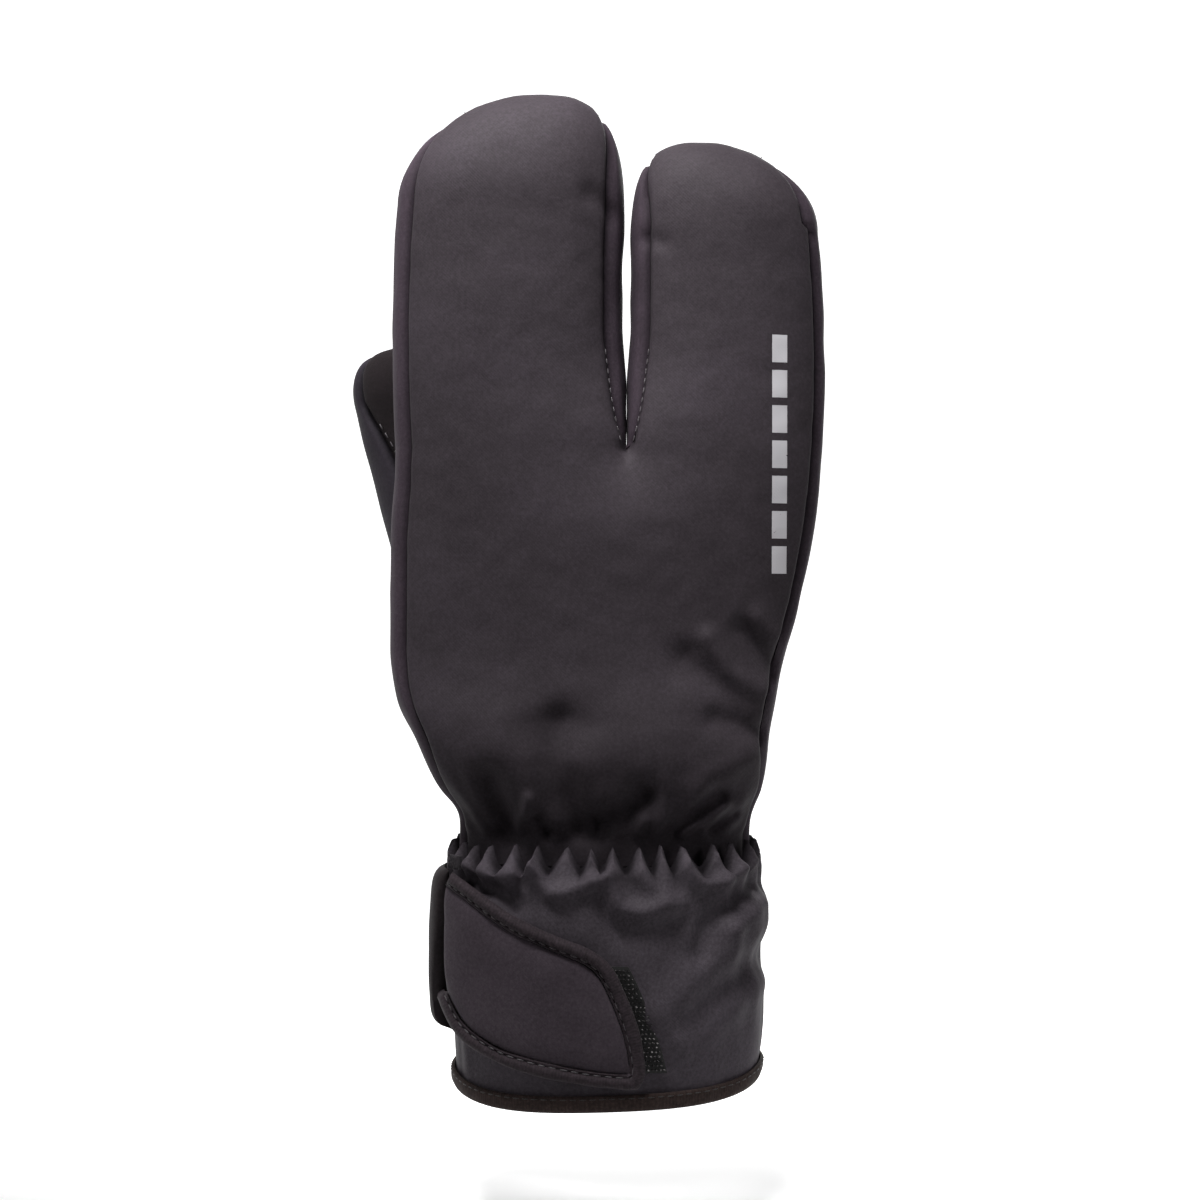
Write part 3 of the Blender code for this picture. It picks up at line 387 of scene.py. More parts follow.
# a point of the back, side -1, or of the palm, side 1
def raised(name, x, z, cap, side, inward):
    height = max(panelHeight(name, x, z, cap, inward), glove["panelGap"])
    crown = smooth((height - puff["crownStart"]) / puff["crownReach"])
    height += puff["height"] * crown * math.exp(-(((z - puff["level"]) / puff["reach"]) ** 2))
    height -= puff["dive"] * (1 - smooth((z - glove["cuffHeight"]) / puff["diveReach"])) * crown
    if crown > 0:
        height -= creaseDepth(backCreases if side < 0 else palmCreases, x, z) * crown
    if inward == 0.0:
        y = side * height
        height += gatherSwell(x, y, z)
        ripple = puff["ripple"] * wander(x, y, z, puff["rippleSize"], 1.0)
        height += ripple * smooth(height / puff["crownReach"])
    return (x, side * height, risen(name, z, cap, inward))


# an outer and an inner skin of points with the same faces; push moves the outer one along its normal
class Skin:
    def __init__(self):
        self.outer, self.inner, self.push, self.uv, self.sunk, self.faces = [], [], [], [], [], []

    # sunk: how much painted shade the point gets, as a depth: as deep as it is pushed in, unless given; a
    # given depth also paints shade where the cloth is not pushed in
    def add(self, outer, inner, push=0.0, uv=(0.0, 0.0), sunk=None):
        self.outer.append(outer)
        self.inner.append(inner)
        self.push.append(push)
        self.uv.append(uv)
        self.sunk.append(-push if sunk is None else sunk)
        return len(self.outer) - 1

    # faces between two rows of point numbers; a number that repeats makes a triangle
    def join(self, lower, upper):
        for column in range(len(lower) - 1):
            face = [lower[column], lower[column + 1], upper[column + 1], upper[column]]
            kept = [index for place, index in enumerate(face) if index not in face[:place]]
            if len(kept) > 2:
                self.faces.append(tuple(kept))


# how far a seam pulls the cloth in, at a distance from it
def seamPull(distance, depth=glove["seamGroove"], roll=glove["seamRoll"]):
    return -depth * math.exp(-((distance / roll) ** 2))


# lines: rows of point numbers that are still to be joined
def makePiece(name, skin, material, lines=()):
    for lower, upper in zip(lines, lines[1:]):
        skin.join(lower, upper)
    count = len(skin.outer)
    firstOf = {}
    same = [firstOf.setdefault(point, index) for index, point in enumerate(skin.outer)]
    normals = [Vector() for _ in range(count)]
    for face in skin.faces:
        a, b, c = (Vector(skin.outer[face[place]]) for place in (0, 1, -1))
        normal = (b - a).cross(c - a)
        for index in face:
            normals[same[index]] += normal
    facing = sum(
        normals[same[i]].dot(Vector(skin.outer[i]) - Vector(skin.inner[i])) for i in range(count)
    )
    sign = 1 if facing > 0 else -1
    outer = []
    for index, point in enumerate(skin.outer):
        normal = normals[same[index]].normalized() * sign
        outer.append(Vector(point) + normal * skin.push[index])
    uses = {}
    for face in skin.faces:
        for place, start in enumerate(face):
            end = face[(place + 1) % len(face)]
            uses.setdefault(frozenset((same[start], same[end])), []).append((start, end))
    faces = [tuple(face) for face in skin.faces]
    faces += [tuple(count + index for index in reversed(face)) for face in skin.faces]
    for pairs in uses.values():
        if len(pairs) == 1:
            start, end = pairs[0]
            faces.append((end, start, count + start, count + end))
    points = outer + [Vector(point) for point in skin.inner]
    # the painted shade of each point; the inner skin, inside the glove, gets it in full
    full = glove["grooveFull"] * glove["seamGroove"]
    paintedShades = [smooth(sunk / full) for sunk in skin.sunk] + [1.0] * count
    return makeMesh(name, points, faces, skin.uv + skin.uv, material, paintedShades)


def addObject(name, data):
    found = bpy.data.objects.new(name, data)
    bpy.context.scene.collection.objects.link(found)
    return found


# a piece of rows and columns; pointAt gives a point's outer and inner place, push and map
def makeGrid(name, material, size, pointAt):
    skin = Skin()
    lines = []
    for row in range(size["rows"] + 1):
        lines.append([skin.add(*pointAt(row, column)) for column in range(size["columns"] + 1)])
    return makePiece(name, skin, material, lines)


weld = {"same": 0.002 * mm, "tiny": 0.0005 * mm, "sharp": math.radians(60)}


# painted shade for each point, from 0 to 1, deepest in seams, pleats and creases, near the gather and on the
# glove's inside; the cloths' materials read it
def makeMesh(name, points, faces, uv, material, paintedShades=None):
    mesh = bpy.data.meshes.new(name)
    mesh.from_pydata([tuple(point) for point in points], [], faces)
    if paintedShades:
        mesh.attributes.new("paintedGrooveShade", "FLOAT", "POINT").data.foreach_set("value", paintedShades)
    layer = mesh.uv_layers.new(name="cloth")
    for loop in mesh.loops:
        layer.data[loop.index].uv = uv[loop.vertex_index]
    shape = bmesh.new()
    shape.from_mesh(mesh)
    bmesh.ops.remove_doubles(shape, verts=shape.verts, dist=weld["same"])
    bmesh.ops.dissolve_degenerate(shape, edges=shape.edges, dist=weld["tiny"])
    bmesh.ops.recalc_face_normals(shape, faces=shape.faces)
    shape.to_mesh(mesh)
    shape.free()
    mesh.shade_smooth()
    mesh.set_sharp_from_angle(angle=weld["sharp"])
    mesh.materials.append(material)
    return addObject(name, mesh)


panel = {
    "palmRows": 104, "tubeRows": 52, "tipRows": 24, "wideColumns": 66, "narrowColumns": 58,
    "rowSpread": 0.4, "bunching": 0.7, "bunchingPower": 1.3, "bunchingEnd": 1.5,  # where rows and columns lie
    "crotchDimple": 1.0 * mm, "crotchReach": 2.2 * mm, "slotSeam": 0.3,
    "ripple": 0.18 * mm, "rippleSize": 5 * mm,
}


def palmStations():
    height = crotch - tuckBottom
    for row in range(panel["palmRows"] + 1):
        share = row / panel["palmRows"]
        yield tuckBottom + height * mix(share, share ** 2, panel["rowSpread"]), None


def stallStations(name):
    root, top = stallRoot(name), crotch + stalls[name]["height"]
    for row in range(1, panel["tubeRows"] + 1):
        yield crotch + (root - crotch) * row / panel["tubeRows"], None
    for row in range(1, panel["tipRows"] + 1):
        cap = math.pi / 2 * row / panel["tipRows"]
        yield root + (top - root) * math.sin(cap), cap


# columns lie closer together near a seam: near the outer one only in the palm, near both in a stall
def columnPlace(share, bothSides):
    both = mix(share, (1 - math.cos(math.pi * share)) / 2, panel["bunching"])
    return mix(share ** panel["bunchingPower"], both, bothSides)


def panelPoints(name, shares, z, cap, side, inward):
    edge, slotEdge = edgePlaces(name, z, cap, inward)
    outward = stalls[name]["side"]
    gap = 0.0 if cap is not None and cap > stripStop else glove["panelGap"]
    start = edge - outward * (seamDistance(name, z, cap, False) + gap)
    end = slotEdge
    if z > crotch or cap is not None:
        end = slotEdge + outward * (seamDistance(name, z, cap, True) + gap)
    return [raised(name, mix(start, end, share), z, cap, side, inward) for share in shares]


def makePanel(name, side, material, opening=None):
    skin = Skin()

    def addRow(outer, inner, seams, z):
        lengths = lengthsAlong(outer)
        line = []
        for index, point in enumerate(outer):
            push = 0.0
            if seams[0]:
                push += seamPull(lengths[index])
            if seams[1]:
                push += seamPull(lengths[-1] - lengths[index]) * seams[1]
            toCrotch = math.hypot(point[0] - slotX, point[2] - crotch)
            push += seamPull(toCrotch, panel["crotchDimple"], panel["crotchReach"])
            push += panel["ripple"] * wander(*point, panel["rippleSize"], 7.0)
            push = max(push, -glove["deepest"])
            # painted shade: darker towards the gather and in the creases, beyond how deep the cloth is pushed
            # in
            folds = creaseDepth(backCreases if side < 0 else palmCreases, point[0], point[2])
            waistShade = 1 - smooth((z - glove["cuffHeight"]) / puff["shadeReach"])
            sunk = -push + puff["shade"] * waistShade + puff["foldShade"] * folds
            line.append(skin.add(point, inner[index], push, (point[0], z), sunk))
        return line

    rows = []
    wideShares = [columnPlace(c / panel["wideColumns"], 0) for c in range(panel["wideColumns"] + 1)]
    narrowShares = [columnPlace(c / panel["narrowColumns"], 0) for c in range(panel["narrowColumns"])]
    for z, _ in palmStations():
        sheets = []
        for inward in (0.0, glove["wall"]):
            wide = panelPoints("wide", wideShares, z, None, side, inward)
            narrow = panelPoints("narrow", narrowShares, z, None, side, inward)
            sheets.append(wide + narrow[::-1])
        rows.append(addRow(*sheets, (1, 1), z))
    for lower, upper in zip(rows, rows[1:]):
        skin.join(lower, upper)
    middle = skin.inner[rows[-1][panel["wideColumns"]]]
    skin.inner[rows[-1][panel["wideColumns"]]] = (middle[0], middle[1], middle[2] - glove["wall"])
    for stall, first, last in (
        ("wide", 0, panel["wideColumns"]),
        ("narrow", panel["wideColumns"], panel["wideColumns"] + panel["narrowColumns"]),
    ):
        below = rows[-1][first:last + 1]
        count = last - first
        for place, (z, cap) in enumerate(stallStations(stall)):
            if cap is not None and cap > poleCap:
                outer = panelPoints(stall, [0.5], z, cap, side, 0.0)[0]
                inner = panelPoints(stall, [0.5], z, cap, side, glove["wall"])[0]
                above = [skin.add(outer, inner, seamPull(0), (outer[0], z))] * (count + 1)
            else:
                bothSides = smooth(panel["bunchingEnd"] * (place + 1) / panel["tubeRows"])
                columns = [c / count for c in range(count + 1)]
                if stall == "narrow":
                    columns = [1 - column for column in columns]
                shares = [columnPlace(column, bothSides) for column in columns]
                outer = panelPoints(stall, shares, z, cap, side, 0.0)
                inner = panelPoints(stall, shares, z, cap, side, glove["wall"])
                slotPull = smooth((z - crotch) / (panel["slotSeam"] * glove["slotClosedHeight"]))
                seams = (1, slotPull) if stall == "wide" else (slotPull, 1)
                above = addRow(outer, inner, seams, z)
            skin.join(below, above)
            below = above
    if opening:
        openFor(skin, opening, side)
    return makePiece(name, skin, material)


# takes the cells inside the thumb's opening out of the palm and rounds its edge
def openFor(skin, opening, side):
    def away(index):
        x, _, z = skin.outer[index]
        return math.hypot((x - opening["x"]) / opening["width"], (z - opening["z"]) / opening["height"])

    kept = [face for face in skin.faces if min(away(index) for index in face) > 1.0]
    used = {}
    for face in kept:
        for index in face:
            used[index] = used.get(index, 0) + 1
    edge = [
        index for index in used
        if used[index] < 4 and away(index) < opening["reach"] and skin.outer[index][1] > opening["above"]
    ]
    for index in edge:
        x, _, z = skin.outer[index]
        share = 1 / away(index)
        x = opening["x"] + (x - opening["x"]) * share
        z = opening["z"] + (z - opening["z"]) * share
        skin.outer[index] = raised("wide", x, z, None, side, 0.0)
        skin.inner[index] = raised("wide", x, z, None, side, glove["wall"])
    skin.faces = kept


strip = {
    "columns": 18, "bump": 0.35 * mm, "bumpSize": 11 * mm, "bulgePower": 2.2, "deepest": 1.4 * mm,
    "tipBack": math.radians(4), "crotchRise": 0.5 * mm,
}


# points on a bulge from a start over a middle point to an end
def bulgedRow(start, middle, end, columns):
    margin = glove["panelGap"] / (math.dist(start, middle) + math.dist(middle, end))
    points = []
    for column in range(columns + 1):
        share = margin + (1 - 2 * margin) * column / columns
        bulge = 1 - abs(2 * share - 1) ** strip["bulgePower"]
        point = []
        for axis in range(3):
            straight = mix(start[axis], end[axis], share)
            point.append(straight + (middle[axis] - (start[axis] + end[axis]) / 2) * bulge)
        points.append(tuple(point))
    return points


def stripRow(name, z, cap, inward, onSlot):
    edge, slotEdge = edgePlaces(name, z, cap, inward)
    silhouette = slotEdge if onSlot else edge
    outward = stalls[name]["side"] * (1 if onSlot else -1)
    seam = silhouette + outward * (seamDistance(name, z, cap, onSlot) - glove["panelGap"])
    back = raised(name, seam, z, cap, -1, inward)
    palm = raised(name, seam, z, cap, 1, inward)
    return bulgedRow(back, (silhouette, 0.0, back[2]), palm, strip["columns"])


def stripRows(name, onSlot):
    stations = [] if onSlot else list(palmStations())
    stations += [(z, cap) for z, cap in stallStations(name) if cap is None or cap < stripStop]
    rows = []
    for z, cap in stations:
        outer = stripRow(name, z, cap, 0.0, onSlot)
        rows.append((outer, stripRow(name, z, cap, glove["wall"], onSlot)))
    cap = stripEnd - strip["tipBack"]
    z = stallRoot(name) + stalls[name]["height"] * (1 - stalls[name]["root"]) * math.sin(cap)
    tip = []
    for inward in (0.0, glove["wall"]):
        edge, slotEdge = edgePlaces(name, z, cap, inward)
        point = (slotEdge if onSlot else edge, 0.0, risen(name, z, cap, inward))
        tip.append([point] * (strip["columns"] + 1))
    rows.append(tuple(tip))
    return rows


def makeStrip(name, rows, material):
    skin = Skin()
    lines = []
    along = 0.0
    for place, (outer, inner) in enumerate(rows):
        middle = strip["columns"] // 2
        if place:
            along += math.dist(outer[middle], rows[place - 1][0][middle])
        lengths = lengthsAlong(outer)
        line = []
        for column, point in enumerate(outer):
            if column and point == outer[column - 1]:
                line.append(line[-1])
                continue
            push = seamPull(lengths[column]) + seamPull(lengths[-1] - lengths[column])
            push += strip["bump"] * wander(*point, strip["bumpSize"], 3.0)
            push = max(push, -strip["deepest"])
            line.append(skin.add(point, inner[column], push, (lengths[column], along)))
        lines.append(line)
    return makePiece(name, skin, material, lines)


def makeFourchette(name, material):
    bottom = []
    for inward in (0.0, glove["wall"]):
        z = crotch + strip["crotchRise"] - inward
        back = raised("wide", slotX, crotch, None, -1, inward)
        palm = raised("wide", slotX, crotch, None, 1, inward)
        ends = (slotX, back[1], z), (slotX, 0.0, z), (slotX, palm[1], z)
        bottom.append(bulgedRow(*ends, strip["columns"]))
    rows = stripRows("wide", True)[::-1] + [tuple(bottom)] + stripRows("narrow", True)
    return makeStrip(name, rows, material)


thumb = {
    "x": -35.93 * mm, "z": 114.18 * mm, "level": 21.15 * mm,
    "openingWidth": 14.02 * mm, "openingHeight": 16.29 * mm,
    "gap": 0.35 * mm,
    "width": 32 * mm, "length": 96 * mm, "lean": 0.27,
    "bend": 0.42, "bendRoom": 1.8 * mm, "depthShare": 0.96, "tipShare": 0.43, "tipPower": 0.6,
    "firstSeam": math.radians(-105), "secondSeam": math.radians(100),
    "seamTwist": math.radians(40),  # how far both seams turn outward at the tip
    "twistPower": 6, "fullAt": 0.8, "backward": 0.03, "taper": 0.06, "rimBlend": 1.6,
    "rows": 96, "tipRows": 26, "columns": 52, "bunching": 0.6, "rowStep": 0.9 * mm,
    "rootDimple": 1.0 * mm, "rootReach": 2.0 * mm, "stitchInset": 2.4 * mm, "stitchRows": (4, 90),
}


def thumbPoint(share, cap, angle, inward, sunk=0.0):
    angle -= thumb["seamTwist"] * share ** thumb["twistPower"]
    bend = min(1.0, share / thumb["bend"])
    beyond = max(0.0, (share - thumb["bend"]) / (1 - thumb["bend"]))
    toFull = smooth(share / (thumb["fullAt"] * thumb["bend"]))
    wide = mix(thumb["openingWidth"] - thumb["gap"], thumb["width"] / 2, toFull)
    deep = thumb["openingHeight"] - thumb["gap"]
    radius = mix(deep, thumb["depthShare"] * thumb["width"] / 2, toFull) + thumb["bendRoom"]
    pivot = thumb["z"] + deep + thumb["bendRoom"]
    deep = radius - thumb["bendRoom"]
    tip = thumb["tipShare"] * thumb["width"]
    turn = math.pi / 2 * bend
    rise = pivot - radius * math.cos(turn) + (thumb["z"] + thumb["length"] - tip - pivot) * beyond
    x = thumb["x"] - thumb["lean"] * (rise - thumb["z"])
    y = thumb["level"] - sunk + radius * math.sin(turn) - thumb["backward"] * thumb["length"] * beyond
    tilt = math.atan(thumb["lean"]) * bend
    tangent = (-math.sin(tilt), math.cos(turn) * math.cos(tilt), math.sin(turn) * math.cos(tilt))
    across = (math.cos(tilt), math.cos(turn) * math.sin(tilt), math.sin(turn) * math.sin(tilt))
    through = (0.0, math.sin(turn), -math.cos(turn))
    closing = max(0.0, math.cos(cap)) ** thumb["tipPower"]
    taper = 1 - thumb["taper"] * beyond
    wide, deep = (wide * taper - inward) * closing, (deep * taper - inward) * closing
    out = (tip - inward) * math.sin(cap)
    rimX = thumb["x"] + thumb["openingWidth"] * math.cos(angle)
    rimZ = thumb["z"] - thumb["openingHeight"] * math.sin(angle)
    rim = raised("wide", rimX, rimZ, None, 1, 0.0)[1]
    y += (rim - thumb["level"]) * (1 - smooth(thumb["rimBlend"] * bend))
    point = []
    for axis, start in enumerate((x, y, rise)):
        ring = wide * math.cos(angle) * across[axis] + deep * math.sin(angle) * through[axis]
        point.append(start + ring + out * tangent[axis])
    return tuple(point)


def thumbStations():
    yield 0.0, 0.0, glove["wall"]
    for row in range(thumb["rows"] + 1):
        yield row / thumb["rows"], 0.0, 0.0
    for row in range(1, thumb["tipRows"] + 1):
        yield 1.0, math.pi / 2 * row / thumb["tipRows"], 0.0


def makeThumbHalf(name, first, last, material):
    skin = Skin()
    lines = []
    margin = glove["panelGap"] / (thumb["width"] / 2)
    along = 0.0
    for place, (share, cap, sunk) in enumerate(thumbStations()):
        if cap > poleCap:
            outer = thumbPoint(share, cap, first, 0.0)
            inner = thumbPoint(share, cap, first, glove["wall"])
            pole = skin.add(outer, inner, seamPull(0), (0.0, along))
            lines.append([pole] * (thumb["columns"] + 1))
            continue
        angles = []
        for column in range(thumb["columns"] + 1):
            across = column / thumb["columns"]
            across = mix(across, (1 - math.cos(math.pi * across)) / 2, thumb["bunching"])
            angles.append(mix(first + margin, last - margin, across))
        outer = [thumbPoint(share, cap, angle, 0.0, sunk) for angle in angles]
        lengths = lengthsAlong(outer)
        along += thumb["rowStep"]
        line = []
        for column, point in enumerate(outer):
            push = seamPull(lengths[column]) + seamPull(lengths[-1] - lengths[column])
            push += seamPull(0.9 * share * thumb["length"], thumb["rootDimple"], thumb["rootReach"])
            push += thumbCrease(point, share)
            inner = thumbPoint(share, cap, angles[column], glove["wall"], sunk)
            uv = (lengths[column] - lengths[-1] / 2, along)
            line.append(skin.add(point, inner, max(push, -glove["deepest"]), uv))
        lines.append(line)
    return makePiece(name, skin, material, lines)


# soft creases across the thumb, deepest where it bends
thumbFolds = {
    "slant": 0.35, "uneven": 3 * mm, "unevenSize": 24 * mm, "middle": 0.3, "reach": 0.22, "pitch": 9 * mm,
    "depth": 0.35 * mm, "soft": 0.45 * mm, "softSize": 16 * mm,
}


def thumbCrease(point, share):
    x, y, z = point
    slant = z + thumbFolds["slant"] * x
    slant += thumbFolds["uneven"] * wander(x, y, z, thumbFolds["unevenSize"], 5.0)
    bend = math.exp(-(((share - thumbFolds["middle"]) / thumbFolds["reach"]) ** 2))
    wave = math.cos(slant / thumbFolds["pitch"] * 2 * math.pi)
    soft = thumbFolds["soft"] * wander(x, y, z, thumbFolds["softSize"], 8.0)
    return thumbFolds["depth"] * bend * wave + soft


# creases of the cuff's front and palm side, given as the hand's are
cuffFrontCreases = [
    (-2.5, 2.5, [(-37.0, 64.1), (-29.9, 61.4), (-23.8, 62.3), (-17.6, 65.0)]),
    (2.2, 3.2, [(-34.8, 59.7), (-28.2, 57.5), (-22.9, 54.0)]),
    (-2.7, 2.5, [(-17.6, 64.1), (-13.2, 57.9), (-8.8, 57.9), (-2.6, 60.6), (2.6, 63.2)]),
    (1.7, 1.5, [(-3.1, 65.8), (-1.8, 63.2)]),
    (-3.2, 2.8, [(1.8, 61.0), (5.3, 54.0), (10.6, 52.6), (20.2, 54.4)]),
    (0.8, 4.9, [(6.2, 49.6), (16.7, 50.4), (24.6, 53.5)]),
    (-1.8, 2.5, [(11.4, 62.8), (16.7, 56.6)]),
    (-2.7, 2.2, [(22.9, 65.4), (27.3, 59.9), (33.4, 59.7), (40.5, 64.1)]),
    (1.4, 1.6, [(25.5, 64.3), (28.6, 62.1)]),
    (2.0, 2.9, [(42.2, 57.0), (34.3, 52.6), (29.0, 47.8), (26.4, 41.6)]),
    (-1.8, 2.8, [(42.2, 53.5), (35.2, 47.8)]),
    (-2.4, 6.2, [(42.2, 47.8), (34.3, 41.6), (22.0, 31.1), (16.7, 25.8)]),
    (1.4, 4.9, [(42.7, 37.2), (31.7, 30.2), (23.8, 23.2)]),
    (-1.8, 4.9, [(42.2, 30.2), (29.0, 22.3), (22.0, 17.9)]),
    (0.9, 6.2, [(-0.9, 54.0), (0.9, 46.0), (-0.9, 41.6)]),
]
cuffPalmCreases = [
    (-0.8, 3.4, [(-36.0, 63.0), (-28.0, 59.5), (-20.0, 63.0)]),
    (1.1, 5.1, [(-34.0, 56.0), (-24.0, 44.0), (-20.0, 30.0)]),
    (-0.8, 3.7, [(-14.0, 63.0), (-6.0, 57.0), (4.0, 58.0), (9.0, 63.0)]),
    (1.0, 6.1, [(-2.0, 54.0), (-6.0, 38.0), (-3.0, 20.0)]),
    (-0.8, 3.4, [(14.0, 63.0), (20.0, 58.0), (29.0, 58.0), (34.0, 63.0)]),
    (1.1, 5.1, [(36.0, 58.0), (24.0, 48.0), (19.0, 34.0)]),
    (-0.6, 6.8, [(38.0, 40.0), (26.0, 26.0), (24.0, 14.0)]),
]


def cuffPoint(angle, z, outward, lift=0.0):
    left, right, depth = cuffEdges(z)
    cosine, sine = math.cos(angle), math.sin(angle)
    reach = right + outward if cosine > 0 else -left + outward
    x = reach * math.copysign(abs(cosine) ** (2 / cuffPower), cosine)
    y = (depth + outward) * math.copysign(abs(sine) ** (2 / cuffPower), sine)
    return (x, y, z + lift)


# the hem rises towards the little-finger side and sags a little in front
def hemLift(x, y=0.0):
    sag = mix(cuff["hemSide"], cuff["hemFront"], smooth(-y / cuff["halfDepth"]))
    return cuff["hemRise"] * (x / (2 * cuff["halfWidth"]) + 0.5) + sag


# 0 in a notch between two pleats, 1 on a pleat's crown: straight in between, or softly rounded
def pleatCrown(angle, level):
    turns = cuff["pleats"] * pleatPlace(angle - cuff["spiral"] * math.cos(angle) * (1 - level))
    sharp = 2 * abs(turns - math.floor(turns) - 0.5)
    return sharp, smooth(sharp)


def makeCuff(name, material):
    skin = Skin()
    lines = []
    count = cuff["pleats"] * cuff["samplesPerPleat"]
    height = glove["cuffHeight"]
    for row in range(cuff["rows"] + 1):
        share = row / cuff["rows"]
        level = cuff["start"] + (1 - cuff["start"]) * (1 - (1 - share) ** cuff["rowPower"])
        near = smooth((level - cuff["sharpStart"]) / cuff["edgeReach"])
        toothed = smooth((level - cuff["toothStart"]) / cuff["edgeReach"])
        tuck = cuff["tuck"] * smooth((level - cuff["tuckStart"]) / cuff["tuckReach"])
        line = []
        around = 0.0
        before = None
        for sample in range(count + 1):
            angle = 2 * math.pi * (sample % count) / count
            cosine, sine = math.cos(angle), math.sin(angle)
            sharp, rounded = pleatCrown(angle, level)
            z = level * height - cuff["toothHeight"] * (1 - sharp ** cuff["toothPower"]) * toothed
            lower = cuff["pleatUneven"] * (0.5 + 0.5 * wander(2 * cosine, 2 * sine, 0, 0.3, 2.0))
            fading = smooth((level - cuff["pleatStart"] - lower) / cuff["pleatReach"])
            pleats = (1 - mix(rounded, sharp, near)) * mix(cuff["pleatLow"], 1.0, fading) * cuff["pleatDepth"]
            soft = cuff["soft"] * wander(3 * cosine, 3 * sine, 0.8 * level, 0.5, 6.0)
            plain = cuffPoint(angle, z, 0.0)
            creases = cuffFrontCreases if plain[1] < 0 else cuffPalmCreases
            fade = smooth((1 - level) / cuff["foldEnd"]) * smooth(abs(plain[1]) / cuff["foldSide"])
            folds = creaseDepth(creases, plain[0], z) * fade
            push = mix(soft, cuff["softAtEdge"] * soft, near) - (pleats + folds + tuck)
            lift = hemLift(*plain[:2]) * (1 - smooth(level / cuff["liftEnd"]))
            outer = (plain[0], plain[1], z + lift)
            inner = cuffPoint(angle, z, -cuff["wall"], lift)
            if before:
                around += math.dist(before, outer)
            before = outer
            # painted shade in the pleats' notches, the tuck and the creases
            shade = cuff["pleatShade"] * pleats * fading + tuck + cuff["foldShade"] * folds
            line.append(skin.add(outer, inner, max(push, -cuff["deepest"]), (around, z), shade))
        lines.append(line)
    return makePiece(name, skin, material, lines)


hem = {
    "height": 4.6 * mm, "thickness": 0.9 * mm, "gap": 0.3 * mm, "samples": 336, "rounding": 0.9 * mm,
    "waver": 0.25 * mm, "ribRadius": 37 * mm, "stitchAt": 0.82, "stitchOut": 0.1 * mm,
}


# how far the bound edge stands out unevenly, which its stitches follow
def hemWaver(angle):
    return hem["waver"] * wander(4 * math.cos(angle), 4 * math.sin(angle), 0, 0.6, 9.0)


def makeHem(name, material):
    cuffBottom = cuff["start"] * glove["cuffHeight"]
    outside = hem["gap"] + hem["thickness"]
    inside = -cuff["wall"] - hem["gap"] - hem["thickness"]
    rounding = hem["rounding"]
    corner = 0.3 * rounding
    outline = [
        (outside - 0.35 * mm, hem["height"]),
        (outside - 0.05 * mm, hem["height"] - 0.35 * mm),
        (outside + 0.05 * mm, hem["height"] * 0.75),
        (outside + 0.18 * mm, hem["height"] * 0.5),
        (outside + 0.12 * mm, 0.3 * hem["height"]),
        (outside, rounding),
        (outside - corner, corner),
        (outside - rounding, 0.0),
        (inside + rounding, 0.0),
        (inside + corner, corner),
        (inside, rounding),
        (inside, hem["height"]),
        (inside + hem["thickness"], hem["height"]),
        (inside + hem["thickness"], cuffBottom - hem["gap"]),
        (hem["gap"], cuffBottom - hem["gap"]),
        (hem["gap"], hem["height"]),
    ]
    points, uv = [], []
    lengths = lengthsAlong(outline)
    for sample in range(hem["samples"]):
        angle = 2 * math.pi * sample / hem["samples"]
        for place, (outward, z) in enumerate(outline):
            lift = hemLift(*cuffPoint(angle, z, 0.0)[:2])
            waver = hemWaver(angle) if place < 6 else 0.0  # the face only
            points.append(cuffPoint(angle, z, outward + waver, lift))
            uv.append((angle * hem["ribRadius"], lengths[place]))
    count = len(outline)
    faces = []
    for sample in range(hem["samples"]):
        low, high = sample * count, (sample + 1) % hem["samples"] * count
        for place in range(count):
            after = (place + 1) % count
            faces.append((low + place, low + after, high + after, high + place))
    return makeMesh(name, points, faces, uv, material)


strap = {
    "left": -40.2 * mm, "length": 52 * mm, "width": 40 * mm, "rest": 6.6 * mm,
    "thickness": 2.0 * mm, "bindingWidth": 4.0 * mm, "clearance": 2.0 * mm, "gap": 0.3 * mm,
    "stations": 84, "rows": 44, "seam": 0.1 * mm, "narrowest": 2 * mm,
    "swell": 0.5 * mm, "swellReach": 6 * mm, "edgeDrop": 0.6 * mm, "edgeReach": 0.7 * mm,
    "stitchAt": 0.78, "stitchPoints": 160, "stitchSunk": 0.02 * mm,  # share of the binding's width
}
strap["face"] = strap["clearance"] + strap["thickness"]
# its edges from the side to the tip: along and height of the top edge, along and height of the bottom edge
strapOutline = [
    (0.00, 1.380, -0.09, 0.500),
    (0.10, 1.310, 0.01, 0.310),
    (0.32, 1.135, 0.20, 0.165),
    (0.54, 1.010, 0.38, 0.100),
    (0.72, 0.920, 0.56, 0.055),
    (0.83, 0.800, 0.72, 0.020),
    (0.91, 0.590, 0.84, 0.005),
    (0.97, 0.370, 0.92, 0.000),
    (1.00, 0.130, 0.97, 0.015),
]
hookPatch = {
    "thickness": 1.4 * mm, "overhang": 4.6 * mm, "width": 16 * mm, "rows": 36, "columns": 20,
    "hookPitch": 1.15 * mm, "hookHeight": 0.6 * mm, "hookWidth": 0.7 * mm, "seed": 4,
    "length": 27 * mm, "sunk": 0.55 * mm, "rim": 0.25 * mm,
    "bulge": 1.0 * mm, "flare": 1.4 * mm, "drop": 1.6 * mm, "tilt": 0.02,
}


def frontPoint(x, z, outward):
    left, right, depth = cuffEdges(z)
    reach = right + outward if x > 0 else -left + outward
    return (x, -(depth + outward) * bow(x / reach, cuffPower), z)


def strapEdges():
    top, bottom = [], []
    for row in strapOutline:
        for edge, (along, high) in ((top, row[:2]), (bottom, row[2:])):
            edge.append((strap["left"] + strap["length"] * along, strap["rest"] + strap["width"] * high))
    return top, bottom


